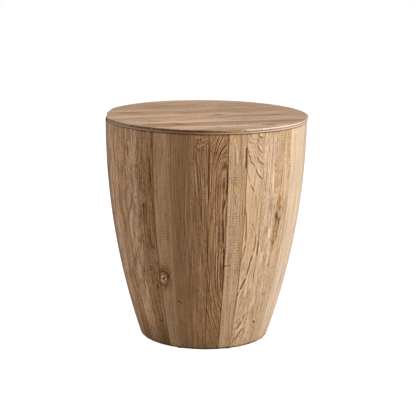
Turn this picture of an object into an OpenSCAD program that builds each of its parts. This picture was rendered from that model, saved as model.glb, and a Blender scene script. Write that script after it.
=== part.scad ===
// Barrel coffee table: a drum of bowed, tapered staves under a thin round top.
// Millimetres, +Z up. The origin is on the floor under the centre of the top, and
// the front of the table faces -Y.

/* [Overall] */
// Width of the round top
top_d = 535; // [480:1:640]
// Height from the floor to the top
table_h = 595; // [450:1:750]
// Width of the drum at the foot of the staves, across the flats
base_d = 343; // [280:1:400]

/* [Top] */
// Thickness of the top boards
board_t = 5.5; // [5:0.5:20]
// Number of top boards
board_count = 11; // [7:2:13]
// Share of an outer board's width that is left where the round top ends it
outer_board_share = 0.65; // [0.4:0.05:1]
// Direction that the top boards run in, turned from the front
board_turn = 16; // [0:1:90]
// Chamfer round the edge of the top boards
board_edge = 0.8; // [0.4:0.1:2]
// Thickness of the plywood under the boards
sub_top_t = 5; // [3:0.5:12]
// How far that plywood stands back from the edge of the boards
sub_top_setback = 1.5; // [0:0.5:2]
// How far the top reaches past the corners of the staves
top_overhang = 2.2; // [2:0.1:20]

/* [Staves] */
// Number of staves round the drum
stave_count = 34; // [24:1:36]
// Angle from the front to the first seam between two staves
seam_turn = 1.6; // [0:0.1:10]
// Thickness of the staves
stave_t = 20; // [18:1:28]
// How far the side bows out from a straight line
side_bow = 24; // [5:1:26]
// Chamfer round the foot of the staves
foot_edge = 2; // [1:0.5:2]
// Chamfer round the shoulder of the staves, under the top
shoulder_edge = 1; // [0.5:0.5:3]

/* [Formers] */
// Thickness of the three plywood discs inside the drum
former_t = 12; // [9:1:18]
// How deep the discs are let into the staves
housing_depth = 8; // [4:1:11]
// Clearance between the rim of a disc and the bottom of its groove
rim_gap = 0.3; // [0.1:0.1:1]
// Height of the middle disc above the foot of the staves
middle_rise = 290; // [150:1:350]
// Height of the bottom panel above the foot of the staves
bottom_rise = 10; // [6:1:60]

/* [Screws] */
// Number of screws that hold the top
screw_count = 8; // [4:2:12]
// Width of the circle that the screws lie on
screw_circle_d = 360; // [300:5:380]
// Diameter of a screw's shank
screw_d = 4; // [3:0.5:5]
// How far the screws reach into the top boards
screw_bite = 3; // [1:0.5:4]
// Width of a screw's head
screw_head_d = 8; // [7:0.5:10]
// Height of a screw's head
screw_head_t = 2.6; // [2:0.1:4]
// Clearance round a screw's shank
screw_gap = 0.15; // [0.1:0.05:0.5]

/* [Pads] */
// Number of felt pads under the staves
pad_count = 8; // [4:2:12]
// Width of a felt pad
pad_d = 16; // [10:1:16]
// Thickness of a felt pad
pad_t = 2; // [1:0.5:5]

/* [Hidden] */
$fn = 96;
// Steps in a full turn of the long arcs that the staves are bowed to
bow_fn = 720;
// Small extra length by which a cutting tool runs past what it cuts
over = 1;

// Colours of the wood, from brown to cream, and of the other materials
wood_tones = ["#8a6a4b", "#9d7c5b", "#c09a73", "#d9bc95", "#a88f76"];
board_tones = ["#b8977a", "#cdb093"];
plywood_colour = "#cdb48f";
steel_colour = "#b9bcc0";
felt_colour = "#4a443e";

// Tone of each stave, counted from the first seam to the right and round the back
stave_tone_order = [
    0, 2, 2, 2, 2, 3, 3, 3, 1, 4, 2, 0, 1, 2, 3, 1, 4,
    2, 0, 1, 2, 4, 3, 1, 2, 0, 4, 4, 1, 4, 0, 1, 0, 0
];
// Tone of each top board, counted from the front
board_tone_order = [0, 1, 0, 1, 0, 1, 0, 1, 0, 0, 1];

// Levels
foot_z = pad_t;
joint_z = table_h - board_t - sub_top_t;
boards_z = table_h - board_t;

// Shape of a stave in a section through the axis: two arcs about one centre
stave_pitch = 360 / stave_count;
corner_factor = 1 / cos(stave_pitch / 2);
foot_r = base_d / 2;
shoulder_r = (top_d / 2 - top_overhang) / corner_factor;
rise = joint_z - foot_z;
chord = norm([shoulder_r - foot_r, rise]);
lean = [rise, foot_r - shoulder_r] / chord;
bow_r = chord * chord / (8 * side_bow) + side_bow / 2;
bow_centre = [foot_r + shoulder_r, foot_z + joint_z] / 2 - lean * (bow_r - side_bow);
function inner_r(z) =
    bow_centre.x + sqrt(pow(bow_r - stave_t, 2) - pow(z - bow_centre.y, 2));
// Radius that no stave reaches
beyond_r = top_d;

// Seats of the three discs: the level of the underside and the radius of the groove
upper_z = joint_z - former_t;
middle_z = foot_z + middle_rise;
bottom_z = foot_z + bottom_rise;
function groove_r(z) = inner_r(z + former_t / 2) + housing_depth;

// Screws and pads
screw_l = former_t + sub_top_t + screw_bite;
screw_hole_d = screw_d + 2 * screw_gap;
screw_tip_l = screw_d / 2;
pad_circle_r = (foot_r - foot_edge + inner_r(foot_z)) / 2;

// Top boards
board_w = top_d / (board_count - 2 + 2 * outer_board_share);
function board_offset(i) = (i - (board_count + 1) / 2) * board_w;

function numbered(stem, i) = str(stem, i < 10 ? "0" : "", i);

// Section of a stave: the wall between the two arcs, cut level at both ends and
// chamfered at the foot and the shoulder
module stave_section() {
    intersection() {
        difference() {
            translate(bow_centre) circle(bow_r, $fn = bow_fn);
            translate(bow_centre) circle(bow_r - stave_t, $fn = bow_fn);
        }
        polygon([
            [0, foot_z],
            [foot_r - foot_edge, foot_z],
            [foot_r - foot_edge + rise / 2, foot_z + rise / 2],
            [shoulder_r - shoulder_edge + rise / 2, joint_z - rise / 2],
            [shoulder_r - shoulder_edge, joint_z],
            [0, joint_z]
        ]);
    }
}

// Wedge between two radial seams, pointing along +X
module stave_wedge() {
    half_w = beyond_r * tan(stave_pitch / 2);
    linear_extrude(height = table_h)
        polygon([[0, 0], [beyond_r, -half_w], [beyond_r, half_w]]);
}

// Groove that a disc is let into
module groove(z) {
    translate([0, 0, z]) cylinder(h = former_t, r = groove_r(z));
}

// One stave, flat across its width and mitred to its neighbours
module stave(i) {
    turn = seam_turn + (i - 0.5) * stave_pitch - 90;
    stave_w = 2 * beyond_r * tan(stave_pitch / 2);
    color(wood_tones[stave_tone_order[(i - 1) % len(stave_tone_order)]])
        rotate([0, 0, turn])
        difference() {
            intersection() {
                rotate([90, 0, 0])
                    linear_extrude(height = stave_w, center = true) stave_section();
                stave_wedge();
            }
            translate([0, 0, upper_z]) cylinder(h = former_t + over, r = groove_r(upper_z));
            groove(middle_z);
            groove(bottom_z);
        }
}

// Places its children at every screw
module at_screws() {
    for (i = [0 : screw_count - 1])
        rotate([0, 0, board_turn + (i + 0.5) * 360 / screw_count])
            translate([screw_circle_d / 2, 0, 0])
            children();
}

// Round blank of the top boards, chamfered at both edges
module top_blank() {
    r = top_d / 2;
    rotate_extrude()
        polygon([
            [0, 0],
            [r - board_edge, 0],
            [r, board_edge],
            [r, board_t - board_edge],
            [r - board_edge, board_t],
            [0, board_t]
        ]);
}

// One board of the top, with the blind holes of the screws that reach it
module top_board(i) {
    hole_depth = screw_bite + screw_tip_l / 4;
    color(board_tones[board_tone_order[(i - 1) % len(board_tone_order)]])
        difference() {
            intersection() {
                translate([0, 0, boards_z]) top_blank();
                rotate([0, 0, board_turn])
                    translate([-top_d / 2 - over, board_offset(i) - board_w / 2, boards_z - over])
                    cube([top_d + 2 * over, board_w, board_t + 2 * over]);
            }
            at_screws()
                translate([0, 0, boards_z - over])
                cylinder(h = hole_depth + over, d = screw_hole_d);
        }
}

// Plywood layer that the boards are glued to
module sub_top() {
    color(plywood_colour)
        difference() {
            translate([0, 0, joint_z])
                cylinder(h = sub_top_t, r = top_d / 2 - sub_top_setback);
            at_screws()
                translate([0, 0, joint_z - over])
                cylinder(h = sub_top_t + 2 * over, d = screw_hole_d);
        }
}

// Plywood disc that sits in a groove of the staves
module former(z) {
    color(plywood_colour)
        translate([0, 0, z]) cylinder(h = former_t, r = groove_r(z) - rim_gap);
}

// Disc that the top is screwed to
module upper_former() {
    color(plywood_colour)
        difference() {
            former(upper_z);
            at_screws()
                translate([0, 0, upper_z - over])
                cylinder(h = former_t + 2 * over, d = screw_hole_d);
        }
}

module middle_former() {
    former(middle_z);
}

module bottom_panel() {
    former(bottom_z);
}

// Pan-head wood screw with a cross slot, its head seated at z = 0 and its tip up
module screw() {
    slot_w = screw_d / 4;
    slot_depth = screw_head_t / 2;
    difference() {
        rotate_extrude()
            polygon([
                [0, -screw_head_t],
                [screw_head_d / 4, -screw_head_t],
                [screw_head_d / 2, -screw_head_t / 2],
                [screw_head_d / 2, 0],
                [screw_d / 2, 0],
                [screw_d / 2, screw_l - screw_tip_l],
                [0, screw_l]
            ]);
        for (turn = [0, 90])
            rotate([0, 0, turn])
                translate([-screw_head_d / 4, -slot_w / 2, -screw_head_t - over])
                cube([screw_head_d / 2, slot_w, slot_depth + over]);
    }
}

module top_screws() {
    color(steel_colour)
        at_screws()
        translate([0, 0, upper_z])
        screw();
}

// Felt pads, stuck under the foot of the staves
module felt_pads() {
    color(felt_colour)
        for (i = [0 : pad_count - 1])
            rotate([0, 0, (i + 0.5) * 360 / pad_count])
                translate([pad_circle_r, 0, 0])
                cylinder(h = pad_t, d = pad_d);
}

for (i = [1 : stave_count])
    stave(i);
for (i = [1 : board_count])
    top_board(i);
sub_top();
upper_former();
middle_former();
bottom_panel();
top_screws();
felt_pads();
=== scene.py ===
"""A barrel coffee table: a drum of bowed, tapered staves of old pine under a thin round top.

Metres, +Z up. The origin is on the floor under the middle of the top, and the front faces -Y.
"""

import math
from types import SimpleNamespace

import bpy
import numpy as np
from bpy.props import FloatProperty, FloatVectorProperty, IntProperty, PointerProperty
from mathutils import Matrix, Vector


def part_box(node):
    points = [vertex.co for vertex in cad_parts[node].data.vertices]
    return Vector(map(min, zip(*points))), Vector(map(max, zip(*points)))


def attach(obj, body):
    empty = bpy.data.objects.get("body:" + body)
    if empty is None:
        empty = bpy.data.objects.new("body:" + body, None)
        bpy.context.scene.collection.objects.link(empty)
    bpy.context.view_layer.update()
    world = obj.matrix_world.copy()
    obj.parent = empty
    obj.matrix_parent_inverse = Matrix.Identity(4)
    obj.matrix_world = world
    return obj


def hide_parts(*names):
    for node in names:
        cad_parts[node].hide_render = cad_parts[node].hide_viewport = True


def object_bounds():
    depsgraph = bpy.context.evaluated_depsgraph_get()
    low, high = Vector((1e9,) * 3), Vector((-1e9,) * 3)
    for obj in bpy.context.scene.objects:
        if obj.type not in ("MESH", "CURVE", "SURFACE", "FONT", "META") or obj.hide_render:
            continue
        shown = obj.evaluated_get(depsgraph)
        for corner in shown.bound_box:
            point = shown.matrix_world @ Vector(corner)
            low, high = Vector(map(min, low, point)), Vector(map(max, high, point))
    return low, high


bl_info = {
    "name": "Barrel coffee table",
    "version": (1, 0, 0),
    "blender": (4, 5, 0),
    "location": "View3D > Sidebar > Coffee Table",
    "description": "Builds a barrel coffee table of old pine staves round its CAD frame",
    "category": "Add Mesh",
}

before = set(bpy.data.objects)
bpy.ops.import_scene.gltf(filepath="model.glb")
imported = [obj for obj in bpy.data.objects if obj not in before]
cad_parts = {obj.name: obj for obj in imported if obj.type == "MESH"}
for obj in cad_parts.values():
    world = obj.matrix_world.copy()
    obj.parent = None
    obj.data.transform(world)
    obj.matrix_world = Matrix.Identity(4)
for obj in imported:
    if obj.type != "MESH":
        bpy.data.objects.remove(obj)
CAD_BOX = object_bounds()

MM = 0.001
STAVES = sorted(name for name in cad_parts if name.startswith("stave_"))
BOARDS = sorted(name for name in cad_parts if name.startswith("top_board_"))
PITCH = 2 * math.pi / len(STAVES)
TOP_RADIUS = max(-CAD_BOX[0].x, CAD_BOX[1].x)

# Where the random draws for each kind of piece and mark start
STAVE_SEED, SETBACK_SEED, BOARD_SEED, SEAM_SEED, RIM_SEED = 100, 300, 500, 700, 900
# mm from the streaks of one piece to those of the next in the grain map, and from those of the
# staves to those of the boards
GRAIN_STEP, BOARD_GRAIN = 400, 100


def linear(hex_colour):
    """An sRGB hex colour as the linear red, green and blue that Blender works in"""
    channels = [int(hex_colour[i : i + 2], 16) / 255 for i in (0, 2, 4)]
    return [c / 12.92 if c <= 0.04045 else ((c + 0.055) / 1.055) ** 2.4 for c in channels]


# Sizes and colours that a user would change


class DrumSizes(bpy.types.PropertyGroup):
    foot_width: FloatProperty(
        name="Foot width",
        description="Width of the drum at the foot of the staves, across the flats",
        default=0.343,
        unit="LENGTH",
    )
    overhang: FloatProperty(
        name="Overhang",
        description="How far the top reaches past the corners of the staves",
        default=0.0022,
        unit="LENGTH",
    )
    bow: FloatProperty(
        name="Bow",
        description="How far the side bows out from a straight line",
        default=0.024,
        unit="LENGTH",
    )
    wall: FloatProperty(
        name="Wall", description="Thickness of the staves", default=0.020, unit="LENGTH"
    )
    first_seam: FloatProperty(
        name="First seam",
        description="Angle from the front to the first seam between two staves",
        default=math.radians(1.6),
        subtype="ANGLE",
    )
    housing: FloatProperty(
        name="Housing",
        description="How deep the discs inside are let into the staves",
        default=0.008,
        unit="LENGTH",
    )
    foot_arris: FloatProperty(
        name="Foot arris",
        description="How far the foot of the staves is rounded",
        default=0.0022,
        unit="LENGTH",
    )
    columns: IntProperty(
        name="Columns", description="Faces across a stave", default=50, min=8
    )
    row_gap: FloatProperty(
        name="Row gap",
        description="Height of the faces up a stave",
        default=0.0016,
        unit="LENGTH",
    )


class TopSizes(bpy.types.PropertyGroup):
    turn: FloatProperty(
        name="Turn",
        description="Direction that the boards run in, turned from the front",
        default=math.radians(16),
        subtype="ANGLE",
    )
    outer_share: FloatProperty(
        name="Outer share",
        description="Share of an outer board's width that is left where the round top ends it",
        default=0.65,
    )
    arris: FloatProperty(
        name="Arris",
        description="How far the edges of the top are rounded",
        default=0.0008,
        unit="LENGTH",
    )
    screws: IntProperty(name="Screws", description="Screws that hold the top", default=8, min=3)
    screw_circle: FloatProperty(
        name="Screw circle",
        description="Width of the circle that the screws lie on",
        default=0.360,
        unit="LENGTH",
    )
    screw_hole: FloatProperty(
        name="Screw hole",
        description="Width of the holes for the screws",
        default=0.0043,
        unit="LENGTH",
    )
    setback: FloatProperty(
        name="Setback",
        description="How far the plywood stands back from the edge of the boards",
        default=0.0015,
        unit="LENGTH",
    )
    flat_side: FloatProperty(
        name="Flat side",
        description="How much a flat worn on the left of the top takes off its radius",
        default=0.0065,
        unit="LENGTH",
    )


def colour_of(name, description, hex_colour):
    return FloatVectorProperty(
        name=name, description=description, subtype="COLOR", default=linear(hex_colour)
    )


class WoodColours(bpy.types.PropertyGroup):
    stave_brown: colour_of("Brown", "Darkest staves", "87694e")
    stave_mid: colour_of("Middle", "Staves between brown and tan", "98785b")
    stave_tan: colour_of("Tan", "Tan staves", "bba287")
    stave_cream: colour_of("Cream", "Palest staves", "cbb69f")
    stave_grey: colour_of("Grey", "Staves that weathered grey", "aa8d75")
    board_brown: colour_of("Top, brown", "Browner boards of the top", "a78b72")
    board_light: colour_of("Top, light", "Paler boards of the top", "b89a81")


class CoffeeTable(bpy.types.PropertyGroup):
    drum: PointerProperty(type=DrumSizes)
    top: PointerProperty(type=TopSizes)
    wood: PointerProperty(type=WoodColours)


# Materials


def add_node(tree, kind, inputs=(), stops=(), **settings):
    """Adds one shader node. inputs give sockets a value or a link, stops are a ramp's colours"""
    node = tree.nodes.new("ShaderNode" + kind)
    for name, value in settings.items():
        setattr(node, name, value)
    for socket, value in dict(inputs).items():
        if isinstance(value, bpy.types.NodeSocket):
            tree.links.new(value, node.inputs[socket])
        else:
            node.inputs[socket].default_value = value
    if stops:
        ramp = node.color_ramp.elements
        while len(ramp) < len(stops):
            ramp.new(1)
        for element, (place, colour) in zip(ramp, stops):
            element.position = place
            element.color = (*colour, 1)
    return node


def new_material(name):
    material = bpy.data.materials.new(name)
    material.use_nodes = True
    material.node_tree.nodes.clear()
    return material


def tinted(colour, red, green, blue):
    return [min(1, c * k) for c, k in zip(colour, (red, green, blue))]


def old_pine(name, body, wide=1, harsh=2.5):
    """Old pine, sawn, dried and wire-brushed: matt, streaked along the grain, dark in its grooves

    The grain map holds the place of each point across and along the rings in metres, so
    streaks follow the rings round knots and arches. wide is how many times wider than on a
    stave the fibres are drawn, and harsh is how far light and dark fibres lie apart.
    """
    material = new_material(name)
    tree = material.node_tree
    grain = add_node(tree, "UVMap", uv_map="grain").outputs["UV"]

    def streaks(across, along, detail):
        scaled = add_node(
            tree,
            "Mapping",
            {"Vector": grain, "Scale": (1 / (across * MM), 1 / (along * MM), 1)},
        )
        return add_node(
            tree,
            "TexNoise",
            {"Vector": scaled.outputs[0], "Scale": 1.0, "Detail": detail, "Roughness": 0.6},
            noise_dimensions="2D",
        ).outputs["Fac"]

    def reading(attribute):
        return add_node(tree, "Attribute", attribute_name=attribute).outputs["Fac"]

    def sum_of(a, b, factor):
        return add_node(tree, "Math", {0: b, 1: factor, 2: a}, operation="MULTIPLY_ADD").outputs[0]

    # Fibres are about 1 mm wide, and drawn 2.2 mm wide so that they show. On the top, which is
    # seen at a low angle, they are drawn twice as wide
    fibre = streaks(2.2 * wide, 70, 2)
    streak = streaks(8 * wide, 420, 3)
    patch = streaks(34, 220, 2)
    place = add_node(tree, "TexCoord").outputs["Object"]
    mottle = add_node(
        tree, "TexNoise", {"Vector": place, "Scale": 300.0, "Detail": 2}
    ).outputs["Fac"]
    pores = streaks(2.0, 9, 1)
    coarse = sum_of(sum_of(sum_of(-0.9 - harsh / 2, fibre, harsh), pores, 1.4), mottle, 0.4)
    coarse = add_node(
        tree, "Math", {0: coarse, 1: reading("grit")}, operation="MULTIPLY"
    ).outputs[0]
    tone = sum_of(sum_of(sum_of(0.12, streak, 0.45), coarse, 1.0), patch, 0.2)
    tone = sum_of(tone, mottle, 0.12)
    colour = add_node(
        tree,
        "ValToRGB",
        {"Fac": tone},
        [
            (0.22, tinted(body, 0.58, 0.53, 0.48)),
            (0.42, tinted(body, 0.90, 0.88, 0.86)),
            (0.55, tinted(body, 1.04, 1.04, 1.04)),
            (0.78, tinted(body, 1.28, 1.32, 1.36)),
        ],
    ).outputs[0]
    # A knot: brown halo, mottled ochre ring and dark heart
    knot = reading("knot")
    knot_colour = add_node(
        tree,
        "ValToRGB",
        {"Fac": sum_of(sum_of(-0.36, knot, 1.0), mottle, 0.72)},
        [
            (0.10, tinted(body, 0.62, 0.52, 0.40)),
            (0.28, linear("573922")),
            (0.38, linear("9c7647")),
            (0.47, linear("6b4c2f")),
            (0.54, linear("ab8a5b")),
            (0.61, linear("77583a")),
            (0.68, linear("c3a274")),
            (0.84, linear("22160f")),
        ],
    ).outputs[0]
    knot_share = add_node(
        tree, "MapRange", {"Value": knot, "From Min": 0.02, "From Max": 0.24, "To Max": 0.9}
    ).outputs[0]
    colour = add_node(
        tree, "Mix", {0: knot_share, 6: colour, 7: knot_colour}, data_type="RGBA"
    ).outputs[2]
    colour = add_node(
        tree,
        "Mix",
        {0: 1.0, 6: colour, 7: reading("shade")},
        data_type="RGBA",
        blend_type="MULTIPLY",
    ).outputs[2]
    gold = reading("gold")
    for factor, tint in ((1.0, (1.12, 0.98, 0.70)), (-1.0, (0.97, 1.0, 1.10))):
        amount = add_node(
            tree, "Math", {0: gold, 1: factor}, operation="MULTIPLY", use_clamp=True
        ).outputs[0]
        colour = add_node(
            tree,
            "Mix",
            {0: amount, 6: colour, 7: (*tint, 1)},
            data_type="RGBA",
            blend_type="MULTIPLY",
        ).outputs[2]
    # Painted highlight: the colour is mixed towards near-white where the upper arris of the rim faces the
    # light, and along the painted highlights of raised fibres
    colour = add_node(
        tree,
        "Mix",
        {0: reading("pale"), 6: colour, 7: (*linear("efe2d3"), 1)},
        data_type="RGBA",
    ).outputs[2]
    # Dust and old stain stay in the brushed-out grooves and open cracks, and in the saw marks
    # The same map also carries painted shade: deeper in the cracks, in the joint under the top, along the
    # foot and on the rim
    groove = reading("groove")
    phase = add_node(
        tree, "Math", {0: reading("phase"), 1: 2 * math.pi}, operation="MULTIPLY"
    ).outputs[0]
    wave = add_node(tree, "Math", {0: phase}, operation="COSINE").outputs[0]
    cut = add_node(
        tree, "Math", {0: wave, 1: reading("saw")}, operation="MULTIPLY"
    ).outputs[0]
    dirt = sum_of(groove, cut, 0.3)
    dirt = add_node(
        tree,
        "ValToRGB",
        {"Fac": dirt},
        [
            (0.00, (1.0, 1.0, 1.0)),
            (0.35, (0.72, 0.61, 0.48)),
            (0.70, (0.40, 0.27, 0.16)),
            (1.00, (0.22, 0.12, 0.06)),
        ],
    ).outputs[0]
    colour = add_node(
        tree, "Mix", {0: 1.0, 6: colour, 7: dirt}, data_type="RGBA", blend_type="MULTIPLY"
    ).outputs[2]
    rough = add_node(
        tree, "MapRange", {"Value": groove, "To Min": 0.7, "To Max": 0.95}
    ).outputs[0]
    # Fibres too fine for the mesh, drawn 0.2 mm deep
    bump = add_node(
        tree,
        "Bump",
        {"Height": sum_of(fibre, cut, -0.4), "Strength": 0.5, "Distance": 0.0004},
    ).outputs[0]
    shader = add_node(
        tree,
        "BsdfPrincipled",
        {"Base Color": colour, "Roughness": rough, "Normal": bump, "IOR": 1.5},
    )
    shader.inputs["Specular IOR Level"].default_value = 0.06
    add_node(tree, "OutputMaterial", {"Surface": shader.outputs[0]})
    return material


def plywood(name):
    """Birch plywood: pale faces with soft grain, and thin darker glue lines round its edge"""
    material = new_material(name)
    tree = material.node_tree
    place = add_node(tree, "TexCoord").outputs["Object"]
    scaled = add_node(tree, "Mapping", {"Vector": place, "Scale": (12, 260, 60)})
    grain = add_node(
        tree, "TexNoise", {"Vector": scaled.outputs[0], "Scale": 1.0, "Detail": 3}
    ).outputs["Fac"]
    veneer = add_node(
        tree,
        "ValToRGB",
        {"Fac": grain},
        [(0.3, linear("b89a70")), (0.5, linear("cdb48f")), (0.7, linear("dcc8a6"))],
    ).outputs[0]
    # Veneers 1.25 mm thick, every other one seen on its end grain
    height = add_node(tree, "SeparateXYZ", {0: place}).outputs[2]
    layer = add_node(tree, "Math", {0: height, 1: 1 / 0.0025}, operation="MULTIPLY").outputs[0]
    layer = add_node(tree, "Math", {0: layer}, operation="FRACT").outputs[0]
    edge = add_node(
        tree,
        "ValToRGB",
        {"Fac": layer},
        [
            (0.00, linear("7d5f40")),
            (0.10, linear("c9ad84")),
            (0.46, linear("c9ad84")),
            (0.52, linear("7d5f40")),
            (0.60, linear("a98a62")),
            (0.94, linear("a98a62")),
        ],
    ).outputs[0]
    up = add_node(tree, "NewGeometry").outputs["Normal"]
    up = add_node(tree, "SeparateXYZ", {0: up}).outputs[2]
    up = add_node(tree, "Math", {0: up}, operation="ABSOLUTE").outputs[0]
    flat = add_node(
        tree, "MapRange", {"Value": up, "From Min": 0.5, "From Max": 0.8}
    ).outputs[0]
    colour = add_node(tree, "Mix", {0: flat, 6: edge, 7: veneer}, data_type="RGBA").outputs[2]
    bump = add_node(
        tree, "Bump", {"Height": grain, "Strength": 0.3, "Distance": 0.0003}
    ).outputs[0]
    shader = add_node(
        tree, "BsdfPrincipled", {"Base Color": colour, "Roughness": 0.62, "Normal": bump}
    )
    add_node(tree, "OutputMaterial", {"Surface": shader.outputs[0]})
    return material


def plywood_edge_painted_light(name):
    """The edge of birch plywood, aged and coloured with painted light and shade by bearing: grey on the
    left, brown in front, pale on the right

    Painted shadow in the joints above and below draws a dark line along both of its edges.
    """
    material = new_material(name)
    tree = material.node_tree
    place = add_node(tree, "TexCoord").outputs["Object"]
    along = add_node(tree, "SeparateXYZ", {0: place}).outputs
    behind = add_node(tree, "Math", {0: along[1], 1: -1.0}, operation="MULTIPLY").outputs[0]
    bearing = add_node(tree, "Math", {0: along[0], 1: behind}, operation="ARCTAN2").outputs[0]
    bearing = add_node(
        tree,
        "MapRange",
        {"Value": bearing, "From Min": -math.pi, "From Max": math.pi},
    ).outputs[0]
    # Spots of 5 mm
    spots = add_node(
        tree, "TexNoise", {"Vector": place, "Scale": 200.0, "Detail": 3}
    ).outputs["Fac"]
    mixed = add_node(
        tree, "Math", {0: spots, 1: 0.06, 2: bearing}, operation="MULTIPLY_ADD"
    ).outputs[0]
    # By bearing: grey on the left, dark brown in front and pale on the right, with painted light and shade
    colour = add_node(
        tree,
        "ValToRGB",
        {"Fac": mixed},
        [
            (0.04, linear("ab9880")),
            (0.36, linear("978473")),
            (0.43, linear("8a715e")),
            (0.47, linear("785b40")),
            (0.50, linear("654b33")),
            (0.54, linear("92735a")),
            (0.57, linear("a18162")),
            (0.61, linear("b59c82")),
            (0.67, linear("c5b09d")),
            (0.96, linear("ab9880")),
        ],
    ).outputs[0]
    low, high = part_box("sub_top")
    for edge, reach in ((low.z, low.z + 0.0012), (high.z, high.z - 0.0016)):
        painted_edge_shadow = add_node(
            tree,
            "MapRange",
            {"Value": along[2], "From Min": edge, "From Max": reach, "To Min": 0.3},
        ).outputs[0]
        colour = add_node(
            tree,
            "Mix",
            {0: 1.0, 6: colour, 7: painted_edge_shadow},
            data_type="RGBA",
            blend_type="MULTIPLY",
        ).outputs[2]
    bump = add_node(
        tree, "Bump", {"Height": spots, "Strength": 0.5, "Distance": 0.0005}
    ).outputs[0]
    shader = add_node(
        tree, "BsdfPrincipled", {"Base Color": colour, "Roughness": 0.8, "Normal": bump}
    )
    shader.inputs["Specular IOR Level"].default_value = 0.1
    add_node(tree, "OutputMaterial", {"Surface": shader.outputs[0]})
    return material


def zinc_steel(name):
    """Zinc-plated steel: bright grey metal with faint cloudy patches"""
    material = new_material(name)
    tree = material.node_tree
    place = add_node(tree, "TexCoord").outputs["Object"]
    cloudy = add_node(
        tree, "TexNoise", {"Vector": place, "Scale": 900.0, "Detail": 3}
    ).outputs["Fac"]
    colour = add_node(
        tree, "ValToRGB", {"Fac": cloudy}, [(0.3, linear("a9acb0")), (0.7, linear("c6c9cc"))]
    ).outputs[0]
    rough = add_node(
        tree, "MapRange", {"Value": cloudy, "To Min": 0.28, "To Max": 0.42}
    ).outputs[0]
    shader = add_node(
        tree, "BsdfPrincipled", {"Base Color": colour, "Metallic": 1.0, "Roughness": rough}
    )
    add_node(tree, "OutputMaterial", {"Surface": shader.outputs[0]})
    return material


def wool_felt(name):
    """Pressed wool felt: matt, mottled, with fibres in every direction"""
    material = new_material(name)
    tree = material.node_tree
    place = add_node(tree, "TexCoord").outputs["Object"]
    fibres = add_node(
        tree, "TexNoise", {"Vector": place, "Scale": 1400.0, "Detail": 6, "Distortion": 2.0}
    ).outputs["Fac"]
    colour = add_node(
        tree, "ValToRGB", {"Fac": fibres}, [(0.35, linear("37322d")), (0.65, linear("5b534b"))]
    ).outputs[0]
    bump = add_node(
        tree, "Bump", {"Height": fibres, "Strength": 0.6, "Distance": 0.0006}
    ).outputs[0]
    shader = add_node(
        tree, "BsdfPrincipled", {"Base Color": colour, "Roughness": 0.95, "Normal": bump}
    )
    shader.inputs["Sheen Weight"].default_value = 0.3
    add_node(tree, "OutputMaterial", {"Surface": shader.outputs[0]})
    return material


# Grain, wear and marks of a board


def cloud(x, y, size_x, size_y, seed):
    """Smooth random numbers from -1 to 1 over x and y, in patches of the given size"""
    cells = 64
    grid = np.random.RandomState(seed).uniform(-1, 1, (cells, cells))
    u, v = np.broadcast_arrays(x / size_x, y / size_y)
    i, j = np.floor(u).astype(int), np.floor(v).astype(int)
    fu, fv = u - i, v - j
    fu, fv = fu * fu * (3 - 2 * fu), fv * fv * (3 - 2 * fv)
    i, j, i1, j1 = i % cells, j % cells, (i + 1) % cells, (j + 1) % cells
    low = grid[i, j] * (1 - fu) + grid[i1, j] * fu
    high = grid[i, j1] * (1 - fu) + grid[i1, j1] * fu
    return low * (1 - fv) + high * fv


def line_through(path, a, b):
    """Distance in mm from a line through points, how much of that lies to its right, and the
    share of the line that lies before each place"""
    nearest, right, share = np.full(a.shape, 1e9), np.zeros(a.shape), np.zeros(a.shape)
    path = np.array(path, float)
    steps = np.hypot(*np.diff(path, axis=0).T)
    before = 0
    for start, end, step in zip(path, path[1:], steps):
        da, db = (end - start) / step
        along = np.clip((a - start[0]) * da + (b - start[1]) * db, 0, step)
        aside = a - start[0] - along * da
        gap = np.hypot(aside, b - start[1] - along * db)
        closer = gap < nearest
        nearest = np.where(closer, gap, nearest)
        right = np.where(closer, aside, right)
        share = np.where(closer, (before + along) / steps.sum(), share)
        before += step
    return nearest, right, share


def along_board(value, b):
    """A value that is the same all along a board, or that runs smoothly through given places"""
    if not isinstance(value, tuple):
        return value
    places, values = zip(*value)
    return sum(np.interp(b + shift, places, values) for shift in (-24, -12, 0, 12, 24)) / 5


def board_plan(seed, told):
    """How a board was sawn and what has happened to it: left to chance where nothing is told

    Places are given as a share of the half width (-1 to 1) across and mm along.
    """
    chance = np.random.RandomState(seed)
    pith, deep = chance.uniform(-55, 55), chance.uniform(12, 60)
    plan = SimpleNamespace(
        seed=seed * 20,
        # mm across to the middle line of the tree, and from the face in to it
        pith=((0, pith), (600, pith + chance.uniform(-12, 12))),
        deep=((0, deep), (600, deep + chance.uniform(-40, 40))),
        ring=chance.uniform(3.8, 6.0),  # mm from ring to ring
        brush=chance.uniform(0.3, 0.6),  # mm that the brush took out of the soft rings
        line=chance.uniform(0.12, 0.34),  # how dark those grooves are
        grit=chance.uniform(0.3, 0.75),  # how rough and streaky the fibres look
        shade=chance.uniform(0.92, 1.08),  # lightness against the colour of its wood
        gold=chance.uniform(-0.2, 0.2),  # golden (above 0) or greyish
        apart=chance.uniform(6.5, 8),  # mm between saw marks
        joint=0.85,  # how dark the painted shade is in the joint under the top
        saws=(),  # where they show: along, mm up and down from there, from and to across, strength
        knots=(),  # across, along, radius in mm, how many times as tall as wide
        # Cracks and brushed-out lines: half width and depth in mm, how dark (above 0) or how bright a
        # painted highlight (below 0), then the points it runs through
        lines=(),
        marks=(),  # across, along, mm wide, mm long, lighter (above 0) or darker
        glows=(),  # the same, for golden places
        # Short strokes: how many, from and to across, from and to along, mm long, raised with a painted
        # highlight (above 0) or darker, and the mm that they run to the right for each mm up
        strokes=(),
    )
    if chance.uniform() < 0.35:
        where = chance.uniform(120, 450)
        plan.saws = ((where, chance.uniform(40, 110), -1, chance.uniform(0.3, 1), 0.8),)
    if chance.uniform() < 0.3:
        plan.knots = (
            (chance.uniform(-0.5, 0.5), chance.uniform(60, 520), chance.uniform(4, 9), 1.4),
        )
    vars(plan).update(told)
    return plan


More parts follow.
